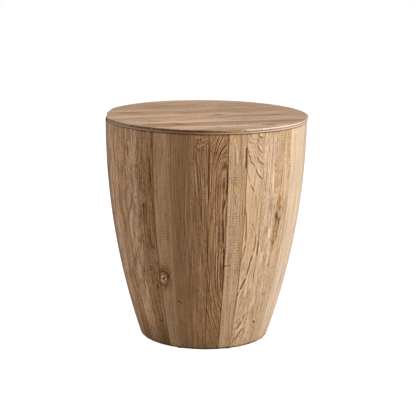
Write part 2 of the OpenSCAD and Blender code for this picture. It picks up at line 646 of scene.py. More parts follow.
def grow_knots(wood, a, b, plan, half_at):
    """Adds the knots, with the brown wood round them and the cracks out from their hearts"""
    seed = plan.seed
    for across, along, size, tall in plan.knots:
        da, db = a - across * half_at(along), b - along
        # The rings part round a knot as a stream does round a stone
        wood.bent = wood.bent - da * size**2 / np.maximum(da**2 + (0.6 * db) ** 2, size**2)
        disc = np.hypot(da, db / tall) / size * (1 + 0.22 * cloud(a, b, 4, 4, seed + 5))
        # Darker wood lies round it, most of it above and to the right
        halo = np.hypot(da - 0.5 * size, (db - 0.5 * size) / tall) / size
        halo = 0.40 * np.exp(-((halo / 1.5) ** 2) * (1 + 0.4 * cloud(a, b, 5, 6, seed + 6)))
        wood.knot = np.maximum(wood.knot, np.maximum(np.clip(1 - disc / 1.3, 0, 1), halo))
        wood.depth += 0.5 * np.exp(-(((disc - 1.02) / 0.15) ** 2)) - 0.3 * np.exp(-(disc**2) * 2)
        star = np.cos(2 * np.arctan2(db, da) + seed) ** 12
        wood.depth += 0.6 * star * np.clip(1 - disc, 0, 1)


def brush_rings(wood, a, b, plan):
    """Cuts the face across the rings of the tree, and brushes out the soft ones"""
    seed = plan.seed
    ring = np.hypot(wood.bent - along_board(plan.pith, b), along_board(plan.deep, b)) / plan.ring
    ring = ring + 0.2 * cloud(a, b, 16, 60, seed + 2)
    nearest = np.rint(ring)
    strength = 0.6 + 0.4 * cloud(nearest * 10, b, 10, 90, seed + 3)
    valley = np.exp(-(((ring - nearest) / 0.22) ** 2)) * strength
    fibres = 0.5 + 0.5 * cloud(wood.bent, b, 2.2, 60, seed + 4)
    wood.depth += plan.brush * (valley + 0.35 * fibres)
    wood.groove += plan.line * valley * (0.7 + 0.4 * fibres) + 0.14 * fibres**2
    wood.bent = ring * plan.ring


def open_cracks(wood, a, b, plan, half_at):
    """Adds the cracks and brushed-out lines, with a lip of torn fibres and a painted highlight along each
    dark one; the light ones are raised and carry only a painted highlight
    """
    for width, deep, dark, *path in plan.lines:
        wander = a + 0.5 * cloud(a, b, 40, 14, plan.seed + 6)
        gap, right, share = line_through([(x * half_at(y), y) for x, y in path], wander, b)
        line = np.exp(-((gap / width) ** 2)) * np.clip(6 * share, 0, 1)
        line = line * np.clip(6 * (1 - share), 0, 1)
        wood.depth += deep * line
        if dark < 0:
            wood.lit = np.maximum(wood.lit, -dark * line)
            continue
        wood.groove = np.maximum(wood.groove, dark * line)
        # Torn fibres stand up along its right side, with a painted highlight on them for the light from the
        # right
        lip = np.exp(-((gap / width - 2.1) ** 2)) * np.clip(right / width, 0, 1)
        lip = lip * np.clip(5 * share, 0, 1) * np.clip(5 * (1 - share), 0, 1)
        wood.depth -= 0.25 * deep * lip
        wood.lit = np.maximum(wood.lit, 0.38 * dark * lip)


def saw_marks(a, b, plan, half_at):
    """How strongly the marks of the saw show, and where in a stroke of the saw each point lies"""
    saw = np.zeros(a.shape)
    across = a / half_at(b)
    for along, reach, left, right, strength in plan.saws:
        inside = np.exp(-(((b - along) / reach) ** 4))
        inside = inside * np.clip((across - left) * 4, 0, 1) * np.clip((right - across) * 4, 0, 1)
        saw = np.maximum(saw, strength * inside)
    saw = saw * np.clip(0.75 + 0.6 * cloud(a, b, 22, 35, plan.seed + 8), 0, 1)
    phase = (b + 0.03 * a + 1.3 * cloud(a, b, 60, 25, plan.seed + 7)) / plan.apart
    return saw, phase


def tear_fibres(wood, a, b, plan, half_at):
    """Adds the short strokes, each where chance puts it within the part of the face it is for"""
    chance = np.random.RandomState(plan.seed + 9)
    for count, left, right, low, high, long, amount, *slant in plan.strokes:
        for _ in range(count):
            along = chance.uniform(low, high)
            db = b - along
            da = a - chance.uniform(left, right) * half_at(along) - sum(slant) * db
            length, width = long * chance.uniform(0.3, 0.7), chance.uniform(0.7, 1.3)
            stroke = np.exp(-((da / width) ** 2) - (db / length) ** 4)
            stroke = stroke * abs(amount) * chance.uniform(0.6, 1.2)
            if amount < 0:
                wood.depth, wood.groove = wood.depth + 0.7 * stroke, wood.groove + stroke
            else:
                wood.depth, wood.lit = wood.depth - 0.5 * stroke, wood.lit + stroke


def blotches_and_painted_shade(a, b, plan, half_at):
    """Lightness and golden tint of the face, clouded by chance and with the told places: blotches, and
    painted shade at the foot of the front staves
    """
    seed = plan.seed
    shade = 1 + 0.06 * cloud(a, b, 7, 300, seed + 10) + 0.05 * cloud(a, b, 60, 160, seed + 11)
    gold = plan.gold + 0.2 * cloud(a, b, 20, 140, seed + 12)
    ragged = 1 + 0.35 * cloud(a, b, 7, 16, seed + 13)

    def spots(places):
        for across, along, wide, long, amount in places:
            da, db = (a - across * half_at(along)) / wide, (b - along) / long
            yield amount * np.exp(-(da**2 + db**2) * ragged)

    for spot in spots(plan.marks):
        shade = shade + spot
    for spot in spots(plan.glows):
        gold = gold + spot
    return shade, gold


def weather(a, b, plan, half_at):
    """Wood taken off the sawn face in mm and the maps that colour it, a mm across, b mm along"""
    seed = plan.seed
    wood = SimpleNamespace(
        bent=a + 1.4 * cloud(a, b, 30, 150, seed) + 3.0 * cloud(a, b, 120, 260, seed + 1),
        knot=np.zeros(a.shape),
        depth=np.zeros(a.shape),
        groove=np.zeros(a.shape),
        lit=np.zeros(a.shape),
    )
    grow_knots(wood, a, b, plan, half_at)
    brush_rings(wood, a, b, plan)
    open_cracks(wood, a, b, plan, half_at)
    wood.saw, wood.phase = saw_marks(a, b, plan, half_at)
    tear_fibres(wood, a, b, plan, half_at)
    shade, gold = blotches_and_painted_shade(a, b, plan, half_at)
    wood.shade = (shade + 0.7 * wood.lit) * plan.shade
    # The painted highlights lighten the face and are paler and less golden, and what is darker is more
    # golden too
    wood.gold = gold + 0.8 * np.clip(1 - shade, 0, 1) - 0.4 * wood.lit
    wood.pale = 0.3 * wood.lit
    return wood


# Sheets that are wrapped into closed pieces


def new_sheet(name, columns, rows):
    """A fine flat sheet, and for each of its points the place across (-1 to 1) and the row"""
    bpy.ops.object.select_all(action="DESELECT")
    bpy.ops.mesh.primitive_grid_add(x_subdivisions=columns, y_subdivisions=rows - 1, size=2)
    piece = bpy.context.active_object
    piece.name = piece.data.name = name
    flat = np.zeros(len(piece.data.vertices) * 3, np.float32)
    piece.data.vertices.foreach_get("co", flat)
    flat = flat.reshape(-1, 3).astype(float)
    return piece, flat[:, 0], np.rint((flat[:, 1] + 1) / 2 * (rows - 1)).astype(int)


def wrap(piece, points, grain, **maps):
    """Moves the sheet's points to their places in mm and keeps the maps that colour the wood"""
    mesh = piece.data
    mesh.vertices.foreach_set("co", (points * MM).astype(np.float32).ravel())
    for name, values in maps.items():
        layer = mesh.attributes.new(name, "FLOAT", "POINT")
        layer.data.foreach_set("value", values.astype(np.float32))
    mesh.uv_layers[0].name = "grain"
    corner = np.zeros(len(mesh.loops), np.int32)
    mesh.loops.foreach_get("vertex_index", corner)
    mesh.uv_layers["grain"].data.foreach_set(
        "uv", (grain * MM)[corner].astype(np.float32).ravel()
    )
    mesh.update()


def close(piece, angle=40):
    """Joins the sheet's first and last row, fills both ends and turns all faces outwards"""
    bpy.ops.object.mode_set(mode="EDIT")
    bpy.ops.mesh.select_mode(type="VERT")
    bpy.ops.mesh.select_all(action="SELECT")
    bpy.ops.mesh.remove_doubles(threshold=1e-6)
    bpy.ops.mesh.select_all(action="DESELECT")
    bpy.ops.mesh.select_non_manifold()
    bpy.ops.mesh.fill_holes(sides=0)
    bpy.ops.mesh.select_all(action="SELECT")
    bpy.ops.mesh.normals_make_consistent(inside=False)
    bpy.ops.object.mode_set(mode="OBJECT")
    bpy.ops.object.shade_smooth_by_angle(angle=math.radians(angle))


def slot_of(node):
    """The name of the material slot that the frame gives a node"""
    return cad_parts[node].data.materials[0].name


def pine_for(slot, woods, colours, **kind):
    """The old pine of a slot, made for its first piece and kept in woods for the others"""
    if slot not in woods:
        woods[slot] = old_pine("old pine, " + slot, list(getattr(colours, slot)), **kind)
    return woods[slot]


def stand_for(piece, node, material):
    """The piece takes the node's place, body and finish"""
    slot = slot_of(node)
    piece.data.materials.clear()
    piece.data.materials.append(material)
    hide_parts(node)
    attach(piece, "root")


# Staves

# A stave has no knots or saw marks where its tale tells of none
PLAIN_STAVE = dict(knots=(), saws=())
# What is seen on each stave of the front. Across is -1 at its left edge and 1 at its right
# Painted shade on the front staves: the broad marks across the foot of staves 27 to 31 darken it, and glows
# there make it browner, while those of 33 and 34 lighten it; the low shade of stave 27 and the dark mark
# along the left edge of stave 28 paint the dark line along the left edge of the drum
STAVE_TALES = {
    "stave_26": dict(PLAIN_STAVE, shade=0.9, gold=0.1, joint=0.1),
    "stave_27": dict(
        PLAIN_STAVE,
        shade=0.82,
        gold=0.2,
        line=0.3,
        grit=0.6,
        marks=((0, 10, 40, 55, -0.42),),
    ),
    "stave_28": dict(
        PLAIN_STAVE,
        shade=1.16,
        gold=-0.2,
        line=0.3,
        grit=0.7,
        pith=70,
        deep=40,
        marks=(
            (0, 20, 60, 90, -0.4), (-1, 150, 5, 160, -0.25), (-0.5, 420, 6, 200, 0.08),
            (0.9, 320, 3, 200, 0.1), (0.5, 318, 5, 8, -0.2), (0.0, 530, 6, 12, -0.1),
        ),
        strokes=((60, -1, 1, 60, 570, 40, -0.7), (34, -1, 1, 60, 570, 40, 0.32)),
        glows=((0, 50, 60, 90, 0.5),),
        lines=(
            (2.4, 0.3, 0.3, (-0.6, 540), (-0.55, 400)),
            (2.4, 0.3, 0.34, (-0.05, 560), (-0.1, 430), (0.0, 300)),
            (2.4, 0.3, 0.3, (0.45, 480), (0.5, 330)),
            (2.4, 0.3, 0.3, (-0.5, 330), (-0.45, 170)),
            (2.4, 0.3, 0.28, (0.5, 270), (0.45, 120)),
            (2.6, -0.1, -0.16, (-0.3, 560), (-0.3, 380)),
            (2.6, -0.1, -0.16, (0.22, 520), (0.25, 350)),
            (2.6, -0.1, -0.14, (-0.2, 300), (-0.2, 120)),
            (2.6, -0.1, -0.14, (0.75, 560), (0.75, 420)),
        ),
    ),
    "stave_29": dict(
        PLAIN_STAVE,
        shade=1.18,
        gold=-0.6,
        pith=60,
        deep=30,
        ring=5.0,
        line=0.3,
        brush=0.6,
        grit=0.7,
        marks=(
            (0, 20, 60, 60, -0.5), (-0.83, 360, 4, 200, 0.24), (-0.07, 468, 4, 6, -0.2),
            (0.14, 414, 4, 6, -0.2), (-0.45, 355, 4, 8, -0.18), (-0.32, 305, 5, 8, -0.2),
            (0.48, 161, 4, 8, -0.3), (0.8, 430, 2, 22, -0.2), (0.73, 527, 3, 12, 0.15),
        ),
        lines=(
            (1.0, 0.6, 0.4, (0.4, 268), (0.7, 276), (1, 274)),
            (1.8, 0.3, 0.36, (-0.5, 560), (-0.45, 470), (-0.5, 400)),
            (1.8, 0.3, 0.36, (-0.1, 440), (-0.05, 330), (-0.1, 260)),
            (1.8, 0.3, 0.34, (0.35, 560), (0.3, 450)),
            (1.8, 0.3, 0.34, (0.6, 400), (0.6, 290)),
            (1.8, 0.3, 0.3, (0.15, 240), (0.1, 130)),
            (1.8, 0.3, 0.3, (-0.55, 280), (-0.5, 150)),
            (2.0, -0.1, -0.18, (-0.3, 550), (-0.28, 420)),
            (2.0, -0.1, -0.18, (0.12, 500), (0.1, 380)),
            (2.0, -0.1, -0.16, (0.45, 380), (0.45, 250)),
            (2.0, -0.1, -0.16, (-0.25, 300), (-0.2, 160)),
        ),
        strokes=((30, -0.6, 1, 60, 570, 30, -0.45), (20, -1, 1, 300, 570, 30, 0.15)),
        glows=((0, 40, 60, 70, 0.9),),
    ),
    "stave_30": dict(
        PLAIN_STAVE,
        shade=0.98,
        gold=0.1,
        pith=70,
        deep=50,
        ring=4.4,
        line=0.3,
        brush=0.7,
        grit=0.7,
        marks=(
            (0, 0, 40, 60, -0.4), (-0.54, 536, 3, 7, -0.3), (-0.4, 515, 3, 8, -0.15),
            (-0.73, 455, 3, 6, -0.28), (-0.65, 430, 3, 7, -0.35), (0.46, 385, 4, 7, -0.3),
            (-0.24, 387, 4, 6, -0.25), (-0.3, 338, 4, 7, -0.28), (-0.2, 327, 4, 5, -0.2),
            (0.95, 490, 3, 6, -0.3), (0.65, 492, 9, 4, -0.12), (-0.32, 471, 6, 9, 0.2),
            (-0.24, 143, 4, 5, -0.25), (0.7, 358, 5, 5, -0.15),
        ),
        glows=((-0.32, 471, 6, 9, 0.7), (0, 50, 60, 100, 0.5)),
        strokes=((90, -1, 1, 130, 575, 24, -0.7), (50, -1, 1, 130, 575, 28, 0.28)),
    ),
    "stave_31": dict(
        PLAIN_STAVE,
        shade=1.08,
        gold=0.1,
        pith=-60,
        deep=40,
        ring=4.8,
        line=0.3,
        brush=0.6,
        grit=0.8,
        lines=(
            (1.7, 1.2, 1.0, (0.66, 522), (0.68, 480), (0.74, 440)),
            (1.6, 1.0, 0.5, (0.76, 440), (0.82, 380), (0.82, 300)),
            (0.9, 0.5, 0.4, (-0.3, 254), (0.0, 255)),
            (1.0, -0.3, -0.3, (-0.9, 231), (-0.3, 233), (0.2, 236)),
            (1.3, -0.3, -0.5, (0.78, 188), (0.88, 177), (1, 168)),
            (1.4, 0.4, 0.7, (0.72, 193), (0.84, 186), (0.93, 177)),
        ),
        marks=(
            (0, 14, 40, 46, -0.42), (0.3, 75, 14, 60, -0.12), (-0.8, 420, 8, 170, 0.12),
            (0.97, 199, 2, 2.5, 0.3), (0.4, 400, 14, 110, -0.08), (0.4, 557, 3.5, 7, 0.3),
            (-0.3, 450, 4, 4, -0.35), (-0.3, 429, 5, 4, -0.35), (-0.36, 392, 4, 6, -0.5),
            (-0.7, 389, 8, 6, -0.2), (0.4, 380, 7, 6, -0.25), (-0.27, 352, 3.5, 12, -0.3),
            (-0.78, 336, 4, 5, 0.15), (-0.3, 286, 4.5, 7, -0.42), (0.46, 286, 5, 7, -0.4),
            (-0.19, 223, 4, 5, -0.55), (0.1, 223, 6, 4, -0.2), (0.73, 240, 4, 8, -0.4),
            (-0.8, 214, 4, 6, -0.25), (0.62, 212, 5, 6, -0.3), (-0.13, 187, 5, 9, -0.3),
            (0.51, 175, 5, 9, -0.42), (0.1, 132, 8, 5, -0.15), (0.08, 74, 6, 3, -0.45),
        ),
        glows=((0.95, 199, 3, 4, 1.0), (0.9, 178, 4, 8, 0.8)),
        strokes=((30, -1, 1, 120, 570, 26, -0.4), (26, -0.5, 0.7, 460, 520, 5, -0.3)),
    ),
    "stave_32": dict(
        PLAIN_STAVE,
        shade=0.95,
        gold=-0.1,
        pith=75,
        deep=45,
        ring=5.5,
        line=0.1,
        grit=0.35,
        apart=6.6,
        saws=(
            (423, 12, -0.3, 0.8, 0.7), (326, 20, -0.5, 0.8, 1.0), (245, 26, -0.1, 1, 1.0),
            (148, 28, -0.2, 1, 0.9), (95, 20, -0.7, 0.8, 0.7), (55, 14, -0.2, 0.8, 0.5),
        ),
        knots=((-0.5, 200, 11, 1.7),),
        lines=(
            (1.2, 0.5, 0.3, (-0.53, 440), (-0.5, 400)),
            (2.3, 0.6, 1.2, (-0.61, 200.5), (-0.45, 200.8)),
            (1.2, -0.3, -0.6, (-1, 199), (-0.75, 196.5), (-0.5, 195.5), (-0.3, 198.5), (-0.12, 203)),
            (1.0, -0.2, -0.45, (-0.92, 203), (-0.7, 206), (-0.42, 206)),
            (1.3, 0.4, 0.6, (-0.9, 216), (-0.78, 210), (-0.85, 203)),
            (1.2, 0.4, 0.6, (-0.35, 216), (-0.25, 208), (-0.05, 205)),
            (1.4, 0.4, 0.7, (-0.48, 194), (-0.35, 187), (-0.3, 179)),
            (1.2, 0.3, 0.55, (-0.95, 191), (-0.72, 187), (-0.65, 179)),
            (1.7, 0.6, 0.8, (-0.83, 219), (-0.4, 221), (0.0, 218), (0.08, 208), (0.05, 195)),
            (1.5, 0.5, 0.75, (0.06, 198), (0.0, 187), (-0.14, 180)),
            (3.6, 0.2, 0.6, (0.1, 218), (0.18, 208), (0.1, 197)),
        ),
        marks=(
            (-0.72, 345, 5, 60, 0.2), (-0.8, 150, 3, 120, 0.16), (-0.48, 282, 4, 22, 0.12),
            (0.24, 208, 5.5, 9, -0.55), (0.9, 300, 9, 300, -0.05), (0.0, 217, 8, 5, -0.25),
            (-0.2, 236, 9, 7, 0.12), (1.0, 465, 3, 26, -0.2), (-0.3, 31, 6, 3, -0.25),
            (0.25, 85, 6, 4, -0.15), (-0.08, 55, 6, 4, -0.15), (0.85, 132, 3, 2, 0.25),
            (0.3, 400, 12, 80, -0.04),
        ),
        glows=((-0.85, 174, 6, 5, 1.0), (0.2, 320, 12, 10, 0.3)),
    ),
    "stave_33": dict(
        PLAIN_STAVE,
        shade=0.76,
        gold=0.25,
        pith=-75,
        deep=40,
        ring=5.5,
        line=0.12,
        grit=0.3,
        apart=6.6,
        saws=(
            (326, 18, -0.7, 0.4, 0.9), (245, 26, -1, 0.4, 0.9), (212, 10, -1, 0.3, 0.5),
            (90, 20, -1, 0.4, 0.7), (405, 12, -0.8, 0.3, 0.5), (150, 34, -1, 0.8, 0.6),
            (290, 16, -1, 0.6, 0.5), (365, 16, -1, 0.6, 0.4),
        ),
        lines=(
            (2.0, 0.4, 0.30, (0.56, 525), (0.56, 458), (0.46, 440), (0.46, 300)),
            (2.0, 0.4, 0.30, (0.46, 300), (0.38, 260), (0.36, 205)),
            (1.3, 0.4, 0.35, (-0.74, 342), (-0.8, 302)),
            (1.2, 0.5, 0.45, (0.8, 320), (0.8, 291)),
            (1.2, -0.3, -0.25, (0.93, 315), (0.94, 290)),
            (1.8, 0.5, 0.55, (-0.95, 134), (-0.72, 139), (-0.6, 143), (-0.45, 139), (-0.2, 135)),
            (1.0, 0.2, 0.2, (-0.7, 100), (-0.55, 125), (-0.35, 128), (-0.2, 110)),
        ),
        marks=(
            (-0.95, 300, 9, 300, 0.12), (0, 50, 60, 60, 0.2), (-0.6, 141, 4, 4, -0.3),
            (-0.1, 400, 10, 130, -0.1), (0.52, 160, 5, 18, -0.14), (0.72, 98, 8, 6, -0.22),
            (0.07, 74, 4, 5, -0.2), (-0.73, 80, 6, 4, -0.15), (0.4, 21, 10, 3, -0.22),
            (0.95, 560, 6, 14, -0.2), (0.93, 44, 3, 4, 0.12), (-0.3, 560, 20, 22, 0.06),
        ),
        glows=((-0.2, 560, 22, 24, 0.3), (0.4, 120, 10, 80, 0.2)),
    ),
    "stave_34": dict(
        PLAIN_STAVE,
        shade=0.84,
        gold=0.1,
        pith=((0, 80), (300, 80), (600, 68)),
        deep=20,
        ring=4.9,
        brush=0.8,
        line=0.25,
        grit=0.6,
        apart=6.8,
        saws=(
            (430, 10, 0.1, 0.9, 0.8), (215, 40, -1, 0.5, 0.7), (50, 14, -1, 0.2, 0.6),
            (320, 50, -1, 0, 0.4), (130, 40, -1, 0.3, 0.5),
        ),
        lines=(
            (1.4, -0.5, -0.4, (-0.47, 524), (-0.29, 473), (-0.14, 422)),
            (1.2, -0.4, -0.3, (-0.19, 527), (-0.04, 487)),
            (1.3, 0.9, 0.5, (-0.36, 545), (-0.2, 500), (-0.1, 460)),
            (1.3, 0.9, 0.6, (-0.16, 530), (-0.03, 464), (0.03, 422)),
            (1.3, 0.9, 0.6, (0.03, 515), (0.2, 455), (0.25, 430)),
            (1.2, -0.4, -0.3, (0.47, 478), (0.46, 440)),
            (1.5, -0.5, -0.6, (0.86, 460), (0.88, 430), (0.9, 405)),
            (1.4, 1.0, 0.6, (0.28, 415), (0.33, 358)),
            (1.2, 0.8, 0.5, (0.72, 552), (0.75, 525)),
            (1.3, 0.9, 0.5, (0.97, 530), (0.96, 460), (0.98, 400)),
            (1.3, 0.8, 0.4, (0.38, 300), (0.4, 242)),
            (1.3, 0.8, 0.4, (0.36, 190), (0.3, 150)),
            (1.3, -0.4, -0.3, (0.2, 272), (0.22, 230)),
            (1.3, -0.4, -0.25, (0.15, 190), (0.17, 165)),
        ),
        marks=(
            (0.68, 220, 10, 120, 0.14), (0, 50, 60, 60, 0.2), (0.6, 400, 9, 60, 0.08),
            (-0.7, 480, 9, 80, -0.08), (0.3, 135, 3, 1.5, 0.25), (0.25, 141, 3, 1.5, -0.3),
            (0.35, 364, 3, 3, -0.25),
        ),
        glows=((0.2, 566, 22, 14, 0.35),),
        strokes=(
            (46, -0.45, 0.98, 550, 581, 5, 0.5), (40, -0.45, 0.98, 545, 581, 5, -0.5),
            (16, 0.1, 0.9, 120, 540, 20, 0.15),
        ),
    ),
    "stave_01": dict(
        PLAIN_STAVE,
        shade=1.1,
        pith=((0, 66), (140, 26), (200, 18), (280, 12), (500, 12), (584, 32)),
        deep=((0, 6), (480, 6), (520, 12), (560, 27), (584, 40)),
        ring=5.4,
        brush=0.9,
        line=0.6,
        grit=0.8,
        lines=(
            (1.4, 1.5, 1.0, (0.0, 582), (-0.26, 559), (-0.39, 541), (-0.6, 520)),
            (1.4, 1.5, 1.0, (0.43, 581), (0.1, 562), (-0.18, 545), (-0.36, 526)),
            (1.4, 1.5, 0.9, (0.95, 571), (0.8, 560), (0.56, 553), (0.24, 543), (0.02, 529), (-0.15, 512)),
            (1.2, 1.2, 0.7, (0.95, 545), (0.73, 540), (0.5, 535), (0.2, 528), (0.03, 510)),
            (1.2, 1.0, 0.6, (0.95, 528), (0.65, 529), (0.35, 524), (0.13, 508)),
            (1.2, 1.0, 0.7, (0.95, 503), (0.75, 513), (0.5, 516), (0.28, 507)),
            (1.2, -0.4, -0.45, (0.16, 512), (0.36, 521), (0.6, 521), (0.85, 512)),
            (1.3, -0.5, -0.6, (0.3, 580), (0.03, 562), (-0.22, 544)),
            (1.2, -0.5, -0.5, (-0.12, 580), (-0.34, 556), (-0.48, 540)),
            (1.2, -0.4, -0.4, (0.6, 564), (0.22, 552)),
            (1.5, 1.2, 0.7, (-0.94, 578), (-0.93, 500), (-0.9, 405)),
            (1.6, 1.8, 0.85, (0.9, 500), (0.95, 455), (0.9, 436), (0.81, 422)),
            (1.8, 2.0, 1.0, (0.81, 422), (0.7, 406), (0.57, 390), (0.56, 376)),
            (1.8, 2.0, 1.0, (0.56, 376), (0.64, 350), (0.73, 320), (0.8, 299)),
            (2.0, 2.2, 1.05, (0.8, 299), (0.84, 284), (0.92, 272), (0.92, 240), (0.95, 222)),
            (1.4, 1.4, 0.7, (0.59, 441), (0.62, 425), (0.72, 408)),
            (1.3, 1.2, 0.6, (-0.7, 505), (-0.68, 440)),
            (1.2, 1.0, 0.5, (-0.5, 500), (-0.48, 380)),
            (1.2, 1.2, 0.6, (-0.24, 480), (-0.23, 400), (-0.2, 330), (-0.06, 290)),
            (1.2, 1.0, 0.5, (0.0, 470), (0.02, 370)),
            (1.2, 1.2, 0.6, (0.22, 390), (0.29, 325), (0.4, 290)),
            (1.4, 1.4, 0.7, (-0.06, 300), (-0.06, 215), (0.0, 195), (0.18, 165), (0.4, 147)),
            (1.4, 1.4, 0.6, (0.4, 147), (0.75, 128), (0.97, 120)),
            (1.4, 1.4, 0.75, (0.24, 300), (0.25, 200), (0.35, 170), (0.55, 150), (0.9, 133)),
            (1.3, 1.2, 0.6, (0.5, 300), (0.52, 215), (0.7, 185), (0.95, 168)),
            (1.2, 1.2, 0.5, (-0.5, 300), (-0.5, 200)),
            (1.3, 1.2, 0.6, (-0.66, 300), (-0.66, 215), (-0.75, 150)),
            (1.2, 1.0, 0.45, (-0.28, 280), (-0.3, 200)),
            (1.4, 1.3, 0.6, (-0.3, 200), (-0.15, 160), (0.1, 138), (0.4, 118), (0.73, 97), (0.97, 80)),
            (1.3, 1.1, 0.5, (-0.5, 170), (-0.3, 125), (-0.2, 90), (0.0, 68)),
            (1.3, 1.1, 0.5, (-0.2, 130), (0.2, 105), (0.5, 85)),
            (1.2, 0.9, 0.4, (-0.75, 140), (-0.6, 90), (-0.5, 60)),
            (1.2, -0.4, -0.4, (0.09, 295), (0.09, 210), (0.2, 180)),
            (1.2, -0.4, -0.4, (0.38, 300), (0.39, 215), (0.5, 185)),
            (1.2, -0.4, -0.35, (0.68, 300), (0.7, 230)),
            (1.1, -0.3, -0.3, (-0.17, 320), (-0.17, 215)),
            (1.1, -0.3, -0.3, (-0.4, 430), (-0.36, 330)),
            (1.1, -0.3, -0.3, (-0.8, 540), (-0.8, 430)),
        ),
        marks=(
            (-0.6, 556, 8, 20, 0.06), (0.6, 504, 9, 7, -0.25), (0.78, 571, 4, 4, 0.25),
            (0.33, 482, 4, 12, 0.28), (0.39, 432, 4, 16, 0.25), (-0.2, 146, 7, 4, -0.3),
            (0.0, 28, 22, 16, -0.08),
        ),
        glows=((-0.1, 558, 16, 16, 0.5), (0.25, 60, 8, 7, 0.5), (-0.65, 550, 8, 22, 0.4)),
    ),
    "stave_02": dict(
        PLAIN_STAVE,
        shade=0.77,
        gold=0.35,
        pith=-80,
        deep=30,
        ring=6.0,
        line=0.14,
        grit=0.45,
        apart=6.6,
        saws=(
            (350, 40, -1, 0.5, 0.8), (280, 46, -0.6, 0.95, 0.75), (215, 26, -0.9, 0.9, 0.75),
            (468, 12, -0.7, 0.2, 0.9), (418, 16, -0.8, 0.2, 0.7), (560, 16, 0.0, 0.8, 0.5),
        ),
        lines=(
            (1.5, -0.5, -0.55, (-0.47, 578), (-0.28, 562), (-0.12, 543), (-0.07, 525), (-0.07, 505)),
            (1.5, -0.4, -0.4, (0.67, 562), (0.68, 500)),
            (1.3, -0.4, -0.35, (-0.62, 550), (-0.45, 528)),
            (2.2, 1.6, 1.2, (0.88, 552), (0.9, 535), (0.9, 518)),
            (2.0, 1.4, 0.95, (0.9, 522), (0.9, 494)),
            (1.3, 1.0, 0.6, (-0.1, 431), (-0.08, 400)),
            (1.2, 0.9, 0.5, (0.02, 553), (0.03, 545)),
            (1.2, 0.8, 0.35, (0.22, 543), (0.24, 515)),
            (1.2, 0.8, 0.35, (0.42, 540), (0.42, 512)),
            (1.6, 0.8, 0.8, (-1, 242), (-0.6, 243.5), (-0.25, 245)),
            (1.4, -0.3, -0.4, (-0.85, 247.5), (-0.4, 248)),
            (1.4, -0.3, -0.35, (-0.95, 238), (-0.6, 236)),
            (1.4, 1.0, 0.45, (0.72, 38), (0.9, 16)),
        ),
        marks=(
            (-0.92, 440, 2.2, 170, 0.22), (-0.8, 60, 4, 60, 0.1), (0.3, 530, 8, 13, -0.12),
            (-0.2, 459, 3, 2.5, -0.35), (-0.2, 470, 14, 7, -0.08), (0.84, 508, 4, 12, -0.12),
            (-0.97, 242, 3, 3, -0.4), (0.45, 225, 9, 6, -0.08), (0.15, 350, 12, 80, -0.05),
        ),
        glows=(
            (-0.13, 446, 13, 9, 0.9), (0.2, 575, 12, 8, 0.4), (-0.4, 560, 8, 18, 0.3),
            (-0.7, 243, 8, 5, 0.6),
        ),
        strokes=((14, -0.9, 0.9, 440, 575, 9, -0.35),),
    ),
    "stave_03": dict(
        PLAIN_STAVE,
        shade=0.97,
        gold=0.15,
        pith=((0, 60), (120, 46), (260, 40), (420, 44), (584, 60)),
        deep=30,
        ring=7.0,
        line=0.06,
        brush=0.3,
        grit=0.25,
        strokes=(
            (70, -0.9, 0.9, 495, 582, 8, -0.35, -0.8), (50, -0.9, 0.9, 495, 582, 8, 0.25, -0.8),
            (34, -0.6, 0.95, 14, 80, 13, -0.5, 0.6), (30, -0.6, 0.95, 14, 80, 13, 0.4, 0.6),
            (26, -0.4, 0.9, 80, 190, 18, -0.35, 0.3), (24, -0.4, 0.9, 80, 190, 18, 0.3, 0.3),
        ),
        apart=6.6,
        saws=((400, 30, -0.8, 0.1, 0.4), (290, 40, -0.6, 0.5, 0.3)),
        lines=(
            (1.2, 1.4, 0.8, (0.15, 582), (0.46, 574), (0.67, 571), (0.95, 573)),
            (1.3, 1.6, 1.0, (0.1, 556), (0.32, 546), (0.53, 537), (0.85, 532)),
            (1.3, 1.6, 0.9, (0.1, 525), (0.35, 516), (0.56, 510), (1, 502)),
            (1.3, 1.4, 0.8, (-1, 546), (-0.84, 537), (-0.67, 523), (-0.53, 512), (-0.1, 502), (0.07, 495)),
            (1.4, 1.7, 1.0, (0.07, 495), (0.18, 488), (0.35, 480), (0.56, 474), (0.95, 465)),
            (1.1, 1.0, 0.6, (-0.3, 541), (-0.07, 536), (0.12, 530)),
            (1.1, 1.0, 0.5, (-0.84, 582), (-0.5, 572), (-0.2, 567)),
            (1.0, 0.8, 0.35, (-0.7, 562), (-0.3, 556), (0.1, 556)),
            (1.4, 1.2, 0.5, (-1, 497), (-0.9, 488), (-0.6, 465), (-0.49, 457)),
            (1.5, 1.3, 0.8, (-0.49, 457), (-0.35, 449), (-0.1, 440), (0.1, 434)),
            (1.4, 1.0, 0.45, (0.1, 434), (0.28, 417), (0.39, 407), (0.5, 390), (0.56, 376), (0.46, 362)),
            (2.3, 1.4, 0.7, (-1, 407), (-0.91, 387), (-0.79, 374), (-0.7, 350), (-0.61, 315), (-0.58, 298)),
            (1.7, 1.2, 0.65, (-0.58, 298), (-0.65, 284), (-0.75, 270), (-0.91, 257), (-1, 246)),
            (1.4, 1.0, 0.4, (0.1, 349), (0.35, 341), (0.49, 331), (0.6, 323)),
            (2.0, 1.8, 0.65, (0.58, 325), (0.67, 311), (0.7, 299), (0.65, 284), (0.53, 270)),
            (1.8, 2.2, 0.95, (0.53, 270), (0.42, 257), (0.3, 246), (0.19, 233), (0.1, 219), (0.0, 205)),
            (2.0, 2.6, 1.2, (0.0, 205), (-0.18, 196), (-0.42, 184), (-0.6, 175), (-0.74, 169)),
            (1.6, 1.8, 0.9, (-0.74, 169), (-0.9, 158), (-1, 150)),
            (2.0, 1.4, 0.5, (-1, 150), (-1, 100)),
            (1.4, 1.3, 0.8, (-0.6, 73), (-0.28, 84), (0.05, 89)),
            (1.5, 1.5, 0.95, (-0.45, 57), (-0.14, 60), (0.14, 68), (0.42, 75), (0.6, 79)),
